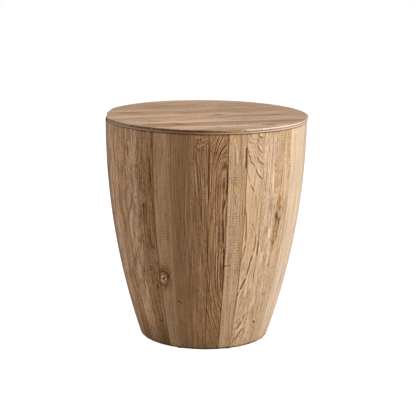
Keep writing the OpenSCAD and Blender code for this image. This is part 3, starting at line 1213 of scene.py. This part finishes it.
            (1.5, 1.4, 0.8, (0.0, 33), (0.35, 44), (0.5, 50), (0.84, 56), (1, 55)),
            (1.3, 1.0, 0.45, (-0.4, 22), (0.0, 32)),
            (1.2, 1.0, 0.4, (-0.96, 34), (-0.6, 48), (-0.45, 57)),
            (1.0, 0.6, 0.35, (-0.4, 158), (0.1, 143)),
            (1.0, 0.6, 0.35, (-0.45, 148), (0.1, 132)),
            (1.0, 0.6, 0.3, (-0.3, 138), (0.3, 122)),
            (1.0, 0.6, 0.3, (-0.6, 133), (-0.1, 119)),
            (1.8, -0.6, -0.55, (0.38, 581), (0.55, 578), (0.72, 576)),
            (1.6, -0.6, -0.45, (0.42, 550), (0.7, 540)),
            (1.6, -0.6, -0.4, (0.4, 521), (0.7, 513)),
            (1.6, -0.5, -0.4, (0.3, 494), (0.5, 482), (0.75, 476)),
            (2.2, -0.6, -0.45, (0.84, 284), (0.68, 268), (0.55, 250), (0.38, 228)),
            (2.0, -0.6, -0.4, (-0.55, 158), (-0.3, 176), (0.03, 194)),
            (1.6, -0.5, -0.35, (-0.4, 73), (-0.15, 81)),
            (1.6, -0.5, -0.35, (0.2, 60), (0.45, 66)),
            (1.8, -0.6, -0.5, (0.6, 41), (0.88, 47)),
        ),
        marks=(
            (-0.3, 165, 4, 5, -0.35), (-0.6, 104, 7, 5, -0.12), (0.12, 349, 4, 2.5, -0.3),
            (-0.61, 245, 3, 3, -0.25), (-0.5, 232, 4, 4, -0.2), (0.9, 565, 4, 4, -0.3),
            (0.2, 190, 8, 14, 0.1), (0.95, 280, 3, 12, -0.25), (0.95, 410, 3, 12, -0.15),
        ),
        glows=((-0.6, 104, 8, 6, 0.5), (-0.3, 300, 14, 60, 0.2)),
    ),
    "stave_04": dict(
        PLAIN_STAVE,
        shade=1.02,
        gold=-0.3,
        pith=-90,
        deep=20,
        ring=4.6,
        line=0.2,
        grit=0.55,
        lines=(
            (1.7, 1.6, 1.1, (-0.9, 304), (-0.87, 280), (-0.85, 260)),
            (1.6, 1.2, 0.55, (-0.93, 338), (-0.9, 304)),
            (1.5, 1.1, 0.6, (-0.95, 222), (-0.95, 198)),
            (1.1, 0.8, 0.45, (-0.5, 292), (-0.45, 262)),
            (1.3, -0.4, -0.4, (-0.62, 290), (-0.6, 268)),
            (1.3, -0.4, -0.45, (-0.37, 527), (-0.35, 475)),
            (2.6, -0.5, -0.45, (0.4, 345), (0.55, 320), (0.68, 290), (0.8, 262), (0.85, 225), (0.8, 195)),
            (2.4, -0.4, -0.25, (0.8, 195), (0.76, 150), (0.55, 120)),
            (3.0, -0.4, -0.2, (0.5, 530), (0.4, 470), (0.5, 410)),
            (1.4, 1.0, 0.6, (0.85, 396), (1, 379)),
            (1.2, 0.8, 0.4, (0.4, 360), (0.6, 340)),
            (1.2, 0.8, 0.4, (0.5, 310), (0.65, 285)),
            (1.1, 0.6, 0.3, (-0.3, 205), (0.1, 185)),
            (1.1, 0.6, 0.3, (-0.6, 190), (-0.1, 170)),
            (1.1, 0.6, 0.3, (-0.3, 160), (0.1, 145)),
            (2.0, 0.3, 0.5, (0.0, 66), (0.4, 61), (0.8, 54), (1, 47)),
            (1.8, 0.9, 0.9, (0.4, 76), (0.6, 73), (0.85, 68), (1, 66)),
        ),
        marks=(
            (-0.65, 504, 4, 6, -0.3), (-0.6, 480, 3, 14, -0.1), (0.6, 539, 8, 9, -0.12),
            (-0.1, 528, 3, 16, -0.1), (-0.6, 572, 5, 5, 0.14), (0.55, 570, 4, 5, 0.14),
            (0.95, 570, 6, 5, 0.18), (0.78, 70, 5, 4, -0.4), (-0.87, 46, 4, 4, -0.3),
            (-0.43, 18, 5, 5, -0.3),
        ),
        glows=((0.3, 62, 7, 5, 1.0), (0.7, 56, 7, 5, 1.0), (-0.4, 58, 8, 6, 0.4)),
        strokes=((36, -1, 1, 60, 575, 22, -0.4), (34, -1, 1, 120, 580, 26, 0.28)),
    ),
    "stave_05": dict(
        PLAIN_STAVE,
        shade=1.0,
        gold=0.05,
        pith=40,
        deep=((0, 10), (600, 45)),
        ring=6.0,
        line=0.15,
        grit=0.35,
        apart=6.0,
        saws=((512, 16, -0.6, 0.9, 0.7), (566, 10, -1, 0.8, 0.7), (440, 10, 0, 1, 0.4)),
        strokes=(
            (20, -0.9, 0.9, 300, 560, 20, -0.35), (12, -0.9, 0.9, 60, 300, 20, -0.3),
            (26, -0.9, 0.9, 60, 580, 26, 0.22), (70, -0.9, 0.1, 290, 420, 13, -0.4),
            (20, -0.9, -0.4, 270, 310, 10, -0.32), (14, -0.2, 0.5, 340, 390, 10, -0.3),
        ),
        lines=((2.2, 0.2, 0.5, (-0.7, 364), (-0.45, 357), (-0.1, 350), (0.1, 348)),),
        marks=(
            (-0.45, 356, 4, 5, -0.35), (-0.6, 358, 9, 20, -0.34), (-0.7, 363, 7, 2.5, -0.25),
            (0.1, 351, 4, 4, -0.25), (0.35, 375, 4, 9, -0.28), (-0.5, 328, 8, 18, -0.3),
            (-0.5, 320, 6, 3, -0.3), (-0.65, 297, 6, 14, -0.28), (-0.6, 392, 7, 14, -0.28),
            (-0.75, 477, 2.5, 5, -0.4), (-0.5, 450, 8, 7, -0.14), (0.7, 460, 6, 6, -0.14),
            (-0.7, 270, 4, 4, -0.22), (-0.75, 231, 3.5, 4.5, -0.42), (-0.2, 219, 5, 3, -0.22),
            (-0.65, 148, 6, 4, -0.42), (-0.3, 95, 9, 10, -0.12), (-0.93, 440, 2.5, 110, 0.2),
        ),
    ),
    "stave_06": dict(
        PLAIN_STAVE,
        shade=1.0,
        gold=0.0,
        line=0.12,
        grit=0.18,
        saws=((565, 12, -0.6, 1, 0.5), (500, 14, -0.8, 0.6, 0.3)),
        marks=(
            (-0.2, 572, 8, 4, 0.16), (0.5, 530, 8, 3, 0.1), (0.55, 550, 4, 5, -0.15),
            (0.95, 410, 5, 55, -0.1), (-0.8, 555, 3, 25, 0.12),
        ),
        glows=((0.95, 420, 5, 50, 0.6), (0.9, 255, 6, 16, 0.6)),
    ),
    "stave_07": dict(PLAIN_STAVE, shade=1.06, gold=-0.2, line=0.12, grit=0.2),
    "stave_08": dict(PLAIN_STAVE, shade=0.93, gold=-0.4, line=0.12, grit=0.2),
}

# How far the arris is worn at the seam to the left of a stave, in mm
SEAM_WEAR = {
    1: 0.9,
    2: 1.6,
    3: 1.0,
    4: 0.5,
    5: 0.4,
    6: 0.7,
    7: 0.3,
    # Seam 27 is worn deep so that its dark groove paints shade along the left edge of the drum
    27: 2.0,
    28: 0.5,
    29: 0.5,
    30: 0.6,
    31: 0.7,
    32: 1.1,
    33: 0.35,
    34: 0.35,
}


def drum_side(drum):
    """The side of the drum in mm: an arc that bows out from the line between foot and shoulder"""
    low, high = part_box(STAVES[0])
    foot_z, joint_z = low.z / MM, high.z / MM
    corner = 1 / math.cos(PITCH / 2)
    foot_r = drum.foot_width / MM / 2
    shoulder_r = (TOP_RADIUS / MM - drum.overhang / MM) / corner
    bow = drum.bow / MM
    rise = joint_z - foot_z
    chord = math.hypot(shoulder_r - foot_r, rise)
    bow_r = chord**2 / (8 * bow) + bow / 2
    centre_r = (foot_r + shoulder_r) / 2 - rise / chord * (bow_r - bow)
    centre_z = (foot_z + joint_z) / 2 - (foot_r - shoulder_r) / chord * (bow_r - bow)

    def outer(z):
        return centre_r + np.sqrt(bow_r**2 - (z - centre_z) ** 2)

    def inner(z):
        return centre_r + np.sqrt((bow_r - drum.wall / MM) ** 2 - (z - centre_z) ** 2)

    def half_at(z):
        return outer(z) * math.tan(PITCH / 2)

    return SimpleNamespace(
        foot_z=foot_z,
        joint_z=joint_z,
        foot_r=foot_r,
        shoulder_r=shoulder_r,
        outer=outer,
        inner=inner,
        half_at=half_at,
    )


def stave_rows(drum, side):
    """Rows round a stave: radius, height, share of the weathering, 1 where a groove is round"""
    foot_z, joint_z, foot_r = side.foot_z, side.joint_z, side.foot_r
    arris, shoulder = drum.foot_arris / MM, 0.8
    face = np.arange(foot_z + arris, joint_z - shoulder, drum.row_gap / MM)
    rows = [(r, foot_z, 0, 0) for r in np.linspace(side.inner(foot_z), foot_r - arris, 6)]
    rows += [(foot_r - arris * 0.55, foot_z + arris * 0.12, 0.2, 0)]
    rows += [(foot_r - arris * 0.15, foot_z + arris * 0.5, 0.6, 0)]
    rows += [(side.outer(z), z, 1, 0) for z in face]
    rows += [(side.outer(joint_z - shoulder / 2) - 0.15, joint_z - shoulder / 2, 0.6, 0)]
    rows += [(side.shoulder_r - shoulder, joint_z, 0.2, 0)]
    # Down the inner side, with the rebate and the two grooves that the discs sit in
    seats = [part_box(node) for node in ("upper_former", "middle_former", "bottom_panel")]
    for number, (bottom, top) in enumerate(seats):
        bottom, top = bottom.z / MM, top.z / MM
        groove = side.inner((bottom + top) / 2) + drum.housing / MM
        rows += [(groove, joint_z if number == 0 else top, 0, 1), (groove, bottom, 0, 1)]
        rows += [(side.inner(bottom), bottom, 0, 0)]
        below = foot_z if number == 2 else seats[number + 1][1].z / MM
        rows += [(side.inner(z), z, 0, 0) for z in np.linspace(bottom, below, 8)[1:]]
    return np.array(rows)


def wear_seams(i, look, share, half, b):
    """The depth and the dirt of a stave's face once the arrises along both seams are worn"""
    depth, groove = look.depth, look.groove
    for side, seam in ((-1, i), (1, i % len(STAVES) + 1)):
        wear = SEAM_WEAR.get(seam, 0.4 + 0.3 * math.sin(seam * 2.4) ** 2)
        wear = wear * (1 + 0.3 * cloud(b * 0, b, 10, 24, SEAM_SEED + seam))
        away = (1 - side * share) * half
        depth = depth + wear * np.clip(1 - away / (1.4 + wear), 0, 1) ** 2
        groove = groove + 0.55 * wear * np.exp(-((away / 1.1) ** 2))
    return depth, groove


class COFFEE_TABLE_OT_staves(bpy.types.Operator):
    """Wraps a fine sheet round the section of every stave, weathers its face and closes it"""

    bl_idname = "coffee_table.staves"
    bl_label = "Staves"

    def execute(self, context):
        table = context.scene.coffee_table
        drum = table.drum
        side = drum_side(drum)
        foot_z, joint_z = side.foot_z, side.joint_z
        rows = stave_rows(drum, side)
        deepest = 3.5  # mm that the weathering may take off a face
        woods = {}
        for i, node in enumerate(STAVES, 1):
            plan = board_plan(STAVE_SEED + i, STAVE_TALES.get(node, {}))
            piece, share, row = new_sheet(node + "_wood", drum.columns, len(rows))
            # Columns lie closer together towards the seams
            share = share * (1.3 - 0.3 * share**2)
            radius, height, skin, rounded = rows[row].T
            half = radius * math.tan(PITCH / 2)
            a, b = share * half, height
            look = weather(a, b, plan, side.half_at)
            depth, groove = wear_seams(i, look, share, half, b)
            # The face is darker towards its top. Near the floor, where the side curves in under itself, it
            # is darker still with painted shade, and painted shade also darkens the joint under the top and
            # the rounded arris at the foot
            shade_by_height = 1.06 - 0.12 * b / joint_z
            shade_by_height = shade_by_height - 0.14 * np.clip(1 - (b - foot_z) / 110, 0, 1) ** 1.5
            groove = groove + plan.joint * np.exp(-(((joint_z - b) / 2.2) ** 2))
            groove = groove + 0.9 * np.exp(-(((b - foot_z) / 4.5) ** 2))
            # No two staves stand out quite as far
            set_back = 0.35 * np.random.RandomState(SETBACK_SEED + i).uniform()
            depth = np.clip(depth, 0, deepest) * skin + set_back * (skin > 0)
            radius = radius - depth
            flat = np.stack([share * radius * math.tan(PITCH / 2), radius], -1)
            on_round = radius[:, None] * np.stack(
                [np.sin(share * PITCH / 2), np.cos(share * PITCH / 2)], -1
            )
            flat = np.where(rounded[:, None] > 0, on_round, flat)
            turn = drum.first_seam + (i - 0.5) * PITCH
            across = np.array([math.cos(turn), math.sin(turn)])
            outward = np.array([math.sin(turn), -math.cos(turn)])
            plan_xy = flat[:, :1] * across + flat[:, 1:] * outward
            wrap(
                piece,
                np.column_stack([plan_xy, height]),
                np.column_stack([look.bent + GRAIN_STEP * i, b]),
                groove=np.clip(groove, 0, 1) * np.clip(3 * skin + 0.3, 0, 1),
                knot=look.knot * skin,
                saw=look.saw * skin,
                phase=look.phase,
                shade=np.clip(look.shade * shade_by_height, 0.3, 1.6),
                gold=np.clip(look.gold, -1, 1),
                pale=look.pale * skin,
                grit=np.full(a.shape, plan.grit),
            )
            close(piece)
            stand_for(piece, node, pine_for(slot_of(node), woods, table.wood))
        return {"FINISHED"}


# Top

# What the boards of the top have in common
PLAIN_BOARD = dict(gold=0.0, line=0.1, grit=0.5, pith=90, deep=30, knots=(), saws=())
# What is seen on each board of the top, counted from the front
BOARD_TALES = {
    "top_board_01": dict(PLAIN_BOARD, shade=1.0),
    "top_board_02": dict(
        PLAIN_BOARD,
        shade=1.15,
        gold=-0.4,
        marks=((0.15, 107, 12, 17, -0.65), (0.15, 68, 5, 26, -0.16), (0.15, 150, 5, 30, -0.16)),
        glows=((0.15, 107, 14, 24, -1.0),),
        lines=(
            (4, 0.1, 0.3, (-0.5, -160), (-0.4, 60)),
            (4, 0, -0.16, (0.3, -160), (0.4, 30)),
            (4, 0.1, 0.3, (0.7, 60), (0.6, 200)),
        ),
    ),
    "top_board_03": dict(
        PLAIN_BOARD,
        shade=0.98,
        gold=0.2,
        marks=((0.0, -112, 10, 13, -0.55), (0.4, -130, 8, 60, -0.1), (0.2, 180, 16, 40, -0.1)),
        lines=(
            (5, 0.1, 0.6, (0.65, -215), (0.6, -150), (0.65, -95)),
            (5, 0.1, 0.4, (0.6, -110), (0.7, 40), (0.75, 235)),
            (4, 0.1, 0.3, (0.1, 20), (0.2, 210)),
            (5, 0.1, 0.3, (-0.95, -90), (-0.9, 80)),
            (4, 0.1, 0.3, (-0.4, -190), (-0.3, -40)),
        ),
    ),
    "top_board_04": dict(
        PLAIN_BOARD,
        shade=1.06,
        gold=-0.4,
        marks=((-0.4, -110, 14, 110, 0.16), (0.1, 90, 18, 60, -0.06)),
        lines=(
            (5, 0, -0.2, (-0.5, -200), (-0.45, 30)),
            (4, 0.1, 0.26, (0.3, 40), (0.4, 210)),
            (4, 0.1, 0.2, (0.2, -200), (0.3, -60)),
        ),
    ),
    "top_board_05": dict(
        PLAIN_BOARD,
        shade=1.06,
        gold=-0.1,
        marks=((-0.4, -120, 16, 80, 0.26), (0.3, 175, 16, 50, -0.14)),
        glows=((-0.4, -120, 20, 90, -0.4),),
        lines=(
            (5, 0.1, 0.5, (0.55, 36), (0.35, 110), (0.3, 200)),
            (5, 0.1, 0.4, (0.3, 130), (0.2, 190)),
            (4, 0.1, 0.26, (0.4, -230), (0.5, -90)),
            (4, 0.1, 0.2, (-0.4, -60), (-0.5, 130)),
        ),
    ),
    "top_board_06": dict(
        PLAIN_BOARD,
        shade=1.02,
        gold=-0.2,
        marks=((-0.7, 22, 9, 11, -0.55), (-0.4, 34, 7, 9, -0.4), (0.9, 185, 6, 14, -0.25)),
        lines=(
            (5, 0, -0.2, (-0.7, 50), (-0.7, 200)),
            (4, 0.1, 0.3, (0.3, -180), (0.4, -60)),
            (4, 0.1, 0.34, (0.8, 60), (0.85, 190)),
        ),
    ),
    "top_board_07": dict(
        PLAIN_BOARD,
        shade=1.0,
        gold=0.15,
        marks=((0.1, -190, 20, 50, -0.1), (0.5, 60, 8, 20, -0.16)),
        lines=(
            (5, 0.1, 0.5, (0.6, -235), (0.75, -160)),
            (4, 0.1, 0.4, (-0.2, -230), (-0.1, -130)),
            (4, 0.1, 0.3, (-0.5, -90), (-0.4, 60)),
            (5, 0.1, 0.4, (0.6, 30), (0.7, 200)),
            (4, 0.1, 0.3, (-0.6, 80), (-0.6, 190)),
        ),
    ),
    "top_board_08": dict(
        PLAIN_BOARD,
        shade=0.9,
        gold=-0.2,
        marks=((-0.4, -180, 12, 70, 0.1),),
        lines=((5, 0.1, 0.4, (0.8, -150), (0.75, 60)), (4, 0.1, 0.3, (0.0, 40), (0.1, 200))),
    ),
    "top_board_09": dict(
        PLAIN_BOARD,
        shade=1.0,
        gold=0.1,
        lines=((5, 0.1, 0.4, (-0.1, -140), (0.0, 60)), (4, 0.1, 0.3, (-0.6, 70), (-0.5, 180))),
    ),
    "top_board_10": dict(
        PLAIN_BOARD, shade=1.1, gold=-0.1, lines=((4, 0.1, 0.24, (0, -120), (0, 90)),)
    ),
    "top_board_11": dict(PLAIN_BOARD, shade=0.97, gold=0.1),
}


# How the rim is coloured, by its bearing in degrees to the right of the front. Its lightness is painted
# light and shade with the rim's own wear: darkest in front, with dark dirt; grey and dim on the left, where
# it is weathered; bright on the right, with a painted highlight where its upper arris faces the light.
# Bearing, lightness of the face and of the upper arris, dirt, painted highlight, gold
RIM_LIGHT_AND_AGE = (
    (-180, 0.8, 0.9, 0, 0, -0.7),
    (-60, 0.56, 0.54, 0.05, 0, -0.5),
    (-30, 0.42, 0.34, 0.4, 0, 0.1),
    (-10, 0.44, 0.28, 0.7, 0, 0.3),
    (2, 0.48, 0.5, 0.6, 0, 0.3),
    (10, 0.5, 0.9, 0.36, 0.05, 0.2),
    (18, 0.72, 1.1, 0.1, 0.2, -0.3),
    (28, 0.95, 1.1, 0, 0.45, -0.8),
    (38, 1.0, 1.1, 0, 0.75, -1),
    (60, 0.95, 1.1, 0, 0.45, -1),
    (180, 0.8, 0.9, 0, 0, -0.7),
)


def lid_outline(x, y, flat_side, top_r):
    """Draws points of the lid in to the worn part on its left: two flats that meet there"""
    for turn in (math.radians(6.5), math.radians(-4.4)):
        facing = np.array([-math.cos(turn), math.sin(turn)])
        over = np.maximum(x * facing[0] + y * facing[1] - (top_r - flat_side), 0)
        x, y = x - over * facing[0], y - over * facing[1]
    return x, y


def board_rows(edge, under, over):
    """Rows round a board: place along (-1 to 1), mm in from the rim, height, share of the wear"""
    face_rows = 210
    face = np.linspace(-1, 1, face_rows)
    rim = [
        (edge, over, 0.6),
        (edge * 0.3, over - edge * 0.3, 0.8),
        (0, over - edge, 1),
        (0, (over + under) / 2, 1),
        (0, under + edge, 1),
        (edge, under, 0.3),
    ]
    rows = [(s, edge * 1.2, over, 1) for s in face]
    rows += [(1, back, z, 0.5 * k) for back, z, k in rim]
    rows += [(s, edge, under, 0) for s in (0.5, 0, -0.5)]
    rows += [(-1, back, z, 0.5 * k) for back, z, k in rim[::-1]]
    rows += [(-1, edge * 1.2, over, 1)]
    return np.array(rows)


def rim_light_and_age(bearing, down, height, seed):
    """The maps that colour the rim, painted light and shade among them. down is 0 at the top of the boards
    and 1 at their underside
    """
    turns, *columns = np.array(RIM_LIGHT_AND_AGE).T
    rim_face_light, arris, dirt, pale, gold = (np.interp(bearing, turns, column) for column in columns)
    rim_face_light = arris + (rim_face_light - arris) * np.clip(5 * down - 2, 0, 1)
    # Painted shadow under the lower edge of the boards, on the right
    rim_face_light = rim_face_light * (1 - 0.4 * (down > 0.75) * np.clip(bearing / 15, 0, 1))
    rim_face_light = rim_face_light * (1 + 0.12 * cloud(bearing * 4.7, height, 5, 3, seed))
    return SimpleNamespace(
        shade=rim_face_light,
        gold=gold,
        pale=pale * np.clip(3 - 5 * down, 0, 1),
        groove=dirt * np.clip(5 * down - 1, 0.3, 1),
    )


class COFFEE_TABLE_OT_top_boards(bpy.types.Operator):
    """Wraps a fine sheet round every board of the top, cuts it to the circle and closes it"""

    bl_idname = "coffee_table.top_boards"
    bl_label = "Top boards"

    def execute(self, context):
        table = context.scene.coffee_table
        top_r = TOP_RADIUS / MM
        low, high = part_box(BOARDS[len(BOARDS) // 2])
        under, over = low.z / MM, high.z / MM
        edge = table.top.arris / MM
        board_w = 2 * top_r / (len(BOARDS) - 2 + 2 * table.top.outer_share)
        rows = board_rows(edge, under, over)
        # The top is sanded, so its relief is a share of what a stave would have
        relief, deepest = 0.35, 1.5
        columns = 40
        cos_turn, sin_turn = math.cos(table.top.turn), math.sin(table.top.turn)
        woods = {}
        for i, node in enumerate(BOARDS, 1):
            plan = board_plan(BOARD_SEED + i, BOARD_TALES.get(node, {}))
            middle = (i - (len(BOARDS) + 1) / 2) * board_w
            limit = top_r - edge * 1.5
            start = max(middle - board_w / 2, -limit)
            end = min(middle + board_w / 2, limit)
            piece, share, row = new_sheet(node + "_wood", columns, len(rows))
            s, back, height, skin = rows[row].T
            # Columns lie closer together where the rim curves away
            start_turn, end_turn = math.asin(start / top_r), math.asin(end / top_r)
            v = top_r * np.sin(start_turn + (share + 1) / 2 * (end_turn - start_turn))
            reach = np.sqrt(np.maximum((top_r - back) ** 2 - v**2, 0))
            u = s * reach
            look = weather(v - middle, u, plan, lambda along: board_w / 2 + 0 * along)
            depth, groove = look.depth * relief, look.groove
            for seam in (middle - board_w / 2, middle + board_w / 2):
                if abs(seam) < limit:
                    away = np.abs(v - seam)
                    depth = depth + 0.3 * np.clip(1 - away / 1.6, 0, 1)
                    groove = groove + 0.3 * np.exp(-((away / 1.2) ** 2))
            x = u * cos_turn - v * sin_turn
            y = u * sin_turn + v * cos_turn
            x, y = lid_outline(x, y, table.top.flat_side / MM, top_r)
            on_top = height >= over
            height = height - np.clip(depth, 0, deepest) * skin * on_top
            bearing = np.degrees(np.arctan2(x, -y))
            on_rim = (np.abs(s) == 1) & ~on_top
            down = (over - height) / (over - under)
            rim = rim_light_and_age(bearing, down, height, RIM_SEED + i)
            # Painted shade: the top is darker and more golden towards its right-hand end
            painted_right_shade = 0.1 * np.clip((x + 20) / 110, 0, 1) + 0.06 * np.clip((x - 90) / 90, 0, 1)
            shade = np.where(on_rim, rim.shade, look.shade * (1 - painted_right_shade))
            gold = np.where(on_rim, rim.gold, look.gold + 2 * painted_right_shade)
            groove = np.where(on_rim, rim.groove, groove)
            wrap(
                piece,
                np.column_stack([x, y, height]),
                np.column_stack([look.bent + GRAIN_STEP * i + BOARD_GRAIN, u]),
                groove=np.clip(groove, 0, 1),
                knot=look.knot * on_top,
                saw=look.saw * on_top,
                phase=look.phase,
                shade=np.clip(shade, 0.1, 1.6),
                pale=rim.pale * on_rim,
                gold=np.clip(gold, -1, 1),
                grit=np.full(u.shape, plan.grit),
            )
            close(piece)
            pine = pine_for(slot_of(node), woods, table.wood, wide=2, harsh=2.0)
            stand_for(piece, node, pine)
        return {"FINISHED"}


# Plywood, screws and pads


class COFFEE_TABLE_OT_plywood(bpy.types.Operator):
    """Cuts the plywood layer under the boards to their outline, and gives the discs their veneer"""

    bl_idname = "coffee_table.plywood"
    bl_label = "Plywood"

    def execute(self, context):
        top = context.scene.coffee_table.top
        birch = plywood("birch plywood")
        for node in ("upper_former", "middle_former", "bottom_panel"):
            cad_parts[node].data.materials[0] = birch

        low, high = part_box("sub_top")
        bpy.ops.object.select_all(action="DESELECT")
        for number in range(top.screws):
            turn = top.turn + (number + 0.5) * 2 * math.pi / top.screws
            place = (math.cos(turn) * top.screw_circle / 2, math.sin(turn) * top.screw_circle / 2)
            bpy.ops.mesh.primitive_cylinder_add(
                vertices=32,
                radius=top.screw_hole / 2,
                depth=0.02,
                location=(*place, (low.z + high.z) / 2),
            )
            drill = context.active_object
            if number:
                drill.select_set(True)
                drills.select_set(True)
                context.view_layer.objects.active = drills
                bpy.ops.object.join()
            drills = context.active_object
        bpy.ops.mesh.primitive_cylinder_add(
            vertices=360,
            radius=TOP_RADIUS - top.setback,
            depth=high.z - low.z,
            location=(0, 0, (low.z + high.z) / 2),
        )
        layer = context.active_object
        layer.name = layer.data.name = "sub_top_plywood"
        bpy.ops.object.transform_apply()
        holes = layer.modifiers.new("screw holes", "BOOLEAN")
        holes.object = drills
        holes.solver = "EXACT"
        bpy.ops.object.modifier_apply(modifier="screw holes")
        bpy.data.objects.remove(drills)
        for vertex in layer.data.vertices:
            vertex.co.x, vertex.co.y = lid_outline(
                vertex.co.x, vertex.co.y, top.flat_side + top.setback, TOP_RADIUS
            )
        bpy.ops.object.shade_smooth_by_angle(angle=math.radians(30))
        stand_for(layer, "sub_top", plywood_edge_painted_light("birch plywood, soiled edge"))
        layer.data.materials.append(birch)
        for face in layer.data.polygons:
            face.material_index = int(abs(face.normal.z) > 0.5)
        return {"FINISHED"}


class COFFEE_TABLE_OT_fittings(bpy.types.Operator):
    """Gives the screws and the felt pads their finish"""

    bl_idname = "coffee_table.fittings"
    bl_label = "Screws and pads"

    def execute(self, context):
        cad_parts["top_screws"].data.materials[0] = zinc_steel("zinc-plated steel")
        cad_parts["felt_pads"].data.materials[0] = wool_felt("pressed wool felt")
        return {"FINISHED"}


# Stage


def background_seen(tree):
    """1 where the background is seen directly or in a reflection, and 0 where it only lights"""
    ray = add_node(tree, "LightPath").outputs
    seen = ray["Is Camera Ray"]
    for kind in ("Is Glossy Ray", "Is Transmission Ray"):
        seen = add_node(
            tree, "Math", {0: seen, 1: ray[kind]}, operation="ADD", use_clamp=True
        ).outputs[0]
    return seen


class COFFEE_TABLE_OT_stage(bpy.types.Operator):
    """Puts a pale floor under the table, soft light round it and the camera in front"""

    bl_idname = "coffee_table.stage"
    bl_label = "Stage"

    def execute(self, context):
        scene = context.scene
        scene.view_settings.view_transform = "Standard"

        # White to the camera and in reflections, a plain grey sky to everything else
        world = bpy.data.worlds.new("studio")
        scene.world = world
        world.use_nodes = True
        tree = world.node_tree
        tree.nodes.clear()
        strength = add_node(
            tree, "MapRange", {"Value": background_seen(tree), "To Min": 0.38, "To Max": 1.0}
        )
        sky = add_node(
            tree, "Background", {"Color": (1, 1, 1, 1), "Strength": strength.outputs[0]}
        )
        add_node(tree, "OutputWorld", {"Surface": sky.outputs[0]})

        bpy.ops.object.select_all(action="DESELECT")
        bpy.ops.mesh.primitive_plane_add(size=14)
        floor = context.active_object
        floor.name = "floor"
        material = new_material("pale studio floor")
        tree = material.node_tree
        glow = add_node(
            tree, "Math", {0: background_seen(tree), 1: 0.80}, operation="MULTIPLY"
        ).outputs[0]
        shader = add_node(
            tree,
            "BsdfPrincipled",
            {
                "Base Color": (0.5, 0.5, 0.5, 1),
                "Roughness": 0.9,
                "Emission Color": (1, 1, 1, 1),
                "Emission Strength": glow,
            },
        )
        shader.inputs["Specular IOR Level"].default_value = 0.0
        add_node(tree, "OutputMaterial", {"Surface": shader.outputs[0]})
        floor.data.materials.append(material)

        # Soft boxes: a large one on the right, a weaker one on the left, one above and one behind
        for name, place, size, power, warmth in (
            ("right soft box", (2.4, -1.7, 1.9), 1.6, 110, "fffaf4"),
            ("left soft box", (-2.1, -2.4, 1.8), 1.8, 56, "fafbff"),
            ("top soft box", (0.2, 0.6, 2.9), 1.6, 4, "ffffff"),
            ("back soft box", (0.9, 2.9, 1.4), 1.8, 26, "ffffff"),
        ):
            bpy.ops.object.light_add(type="AREA", location=place)
            lamp = context.active_object
            lamp.name = name
            lamp.data.shape = "SQUARE"
            lamp.data.size = size
            lamp.data.energy = power
            lamp.data.color = linear(warmth)
            lamp.visible_camera = False
            aim = Vector((0, 0, 0.3)) - lamp.location
            lamp.rotation_euler = aim.to_track_quat("-Z", "Y").to_euler()

        bpy.ops.object.camera_add()
        camera = context.active_object
        camera.name = "camera"
        camera.data.sensor_width = 36
        camera.data.lens = 113.48
        camera.data.shift_x = 0.00705
        camera.data.shift_y = 0.03872
        # It turns round a point half way up the table
        tilt, distance, roll = math.radians(13.288), 3.5176, math.radians(0.671)
        middle_z = 0.2975
        camera.matrix_world = (
            Matrix.Translation(
                (0, -distance * math.cos(tilt), middle_z + distance * math.sin(tilt))
            )
            @ Matrix.Rotation(math.pi / 2 - tilt, 4, "X")
            @ Matrix.Rotation(roll, 4, "Z")
        )
        scene.camera = camera
        return {"FINISHED"}


class COFFEE_TABLE_PT_pieces(bpy.types.Panel):
    """Lists the steps that build the table"""

    bl_idname = "COFFEE_TABLE_PT_pieces"
    bl_label = "Coffee Table"
    bl_space_type = "VIEW_3D"
    bl_region_type = "UI"
    bl_category = "Coffee Table"

    def draw(self, context):
        table = context.scene.coffee_table
        for group in (table.drum, table.top, table.wood):
            box = self.layout.box()
            for name in group.__annotations__:
                box.prop(group, name)
        for step in STEPS:
            self.layout.operator(step.bl_idname)


STEPS = (
    COFFEE_TABLE_OT_stage,
    COFFEE_TABLE_OT_staves,
    COFFEE_TABLE_OT_top_boards,
    COFFEE_TABLE_OT_plywood,
    COFFEE_TABLE_OT_fittings,
)
CLASSES = (DrumSizes, TopSizes, WoodColours, CoffeeTable, *STEPS, COFFEE_TABLE_PT_pieces)


def register():
    for cls in CLASSES:
        bpy.utils.register_class(cls)
    bpy.types.Scene.coffee_table = PointerProperty(type=CoffeeTable)


def unregister():
    del bpy.types.Scene.coffee_table
    for cls in reversed(CLASSES):
        bpy.utils.unregister_class(cls)


def main():
    register()
    bpy.ops.coffee_table.stage()
    bpy.ops.coffee_table.staves()
    bpy.ops.coffee_table.top_boards()
    bpy.ops.coffee_table.plywood()
    bpy.ops.coffee_table.fittings()


if __name__ == "__main__":
    main()
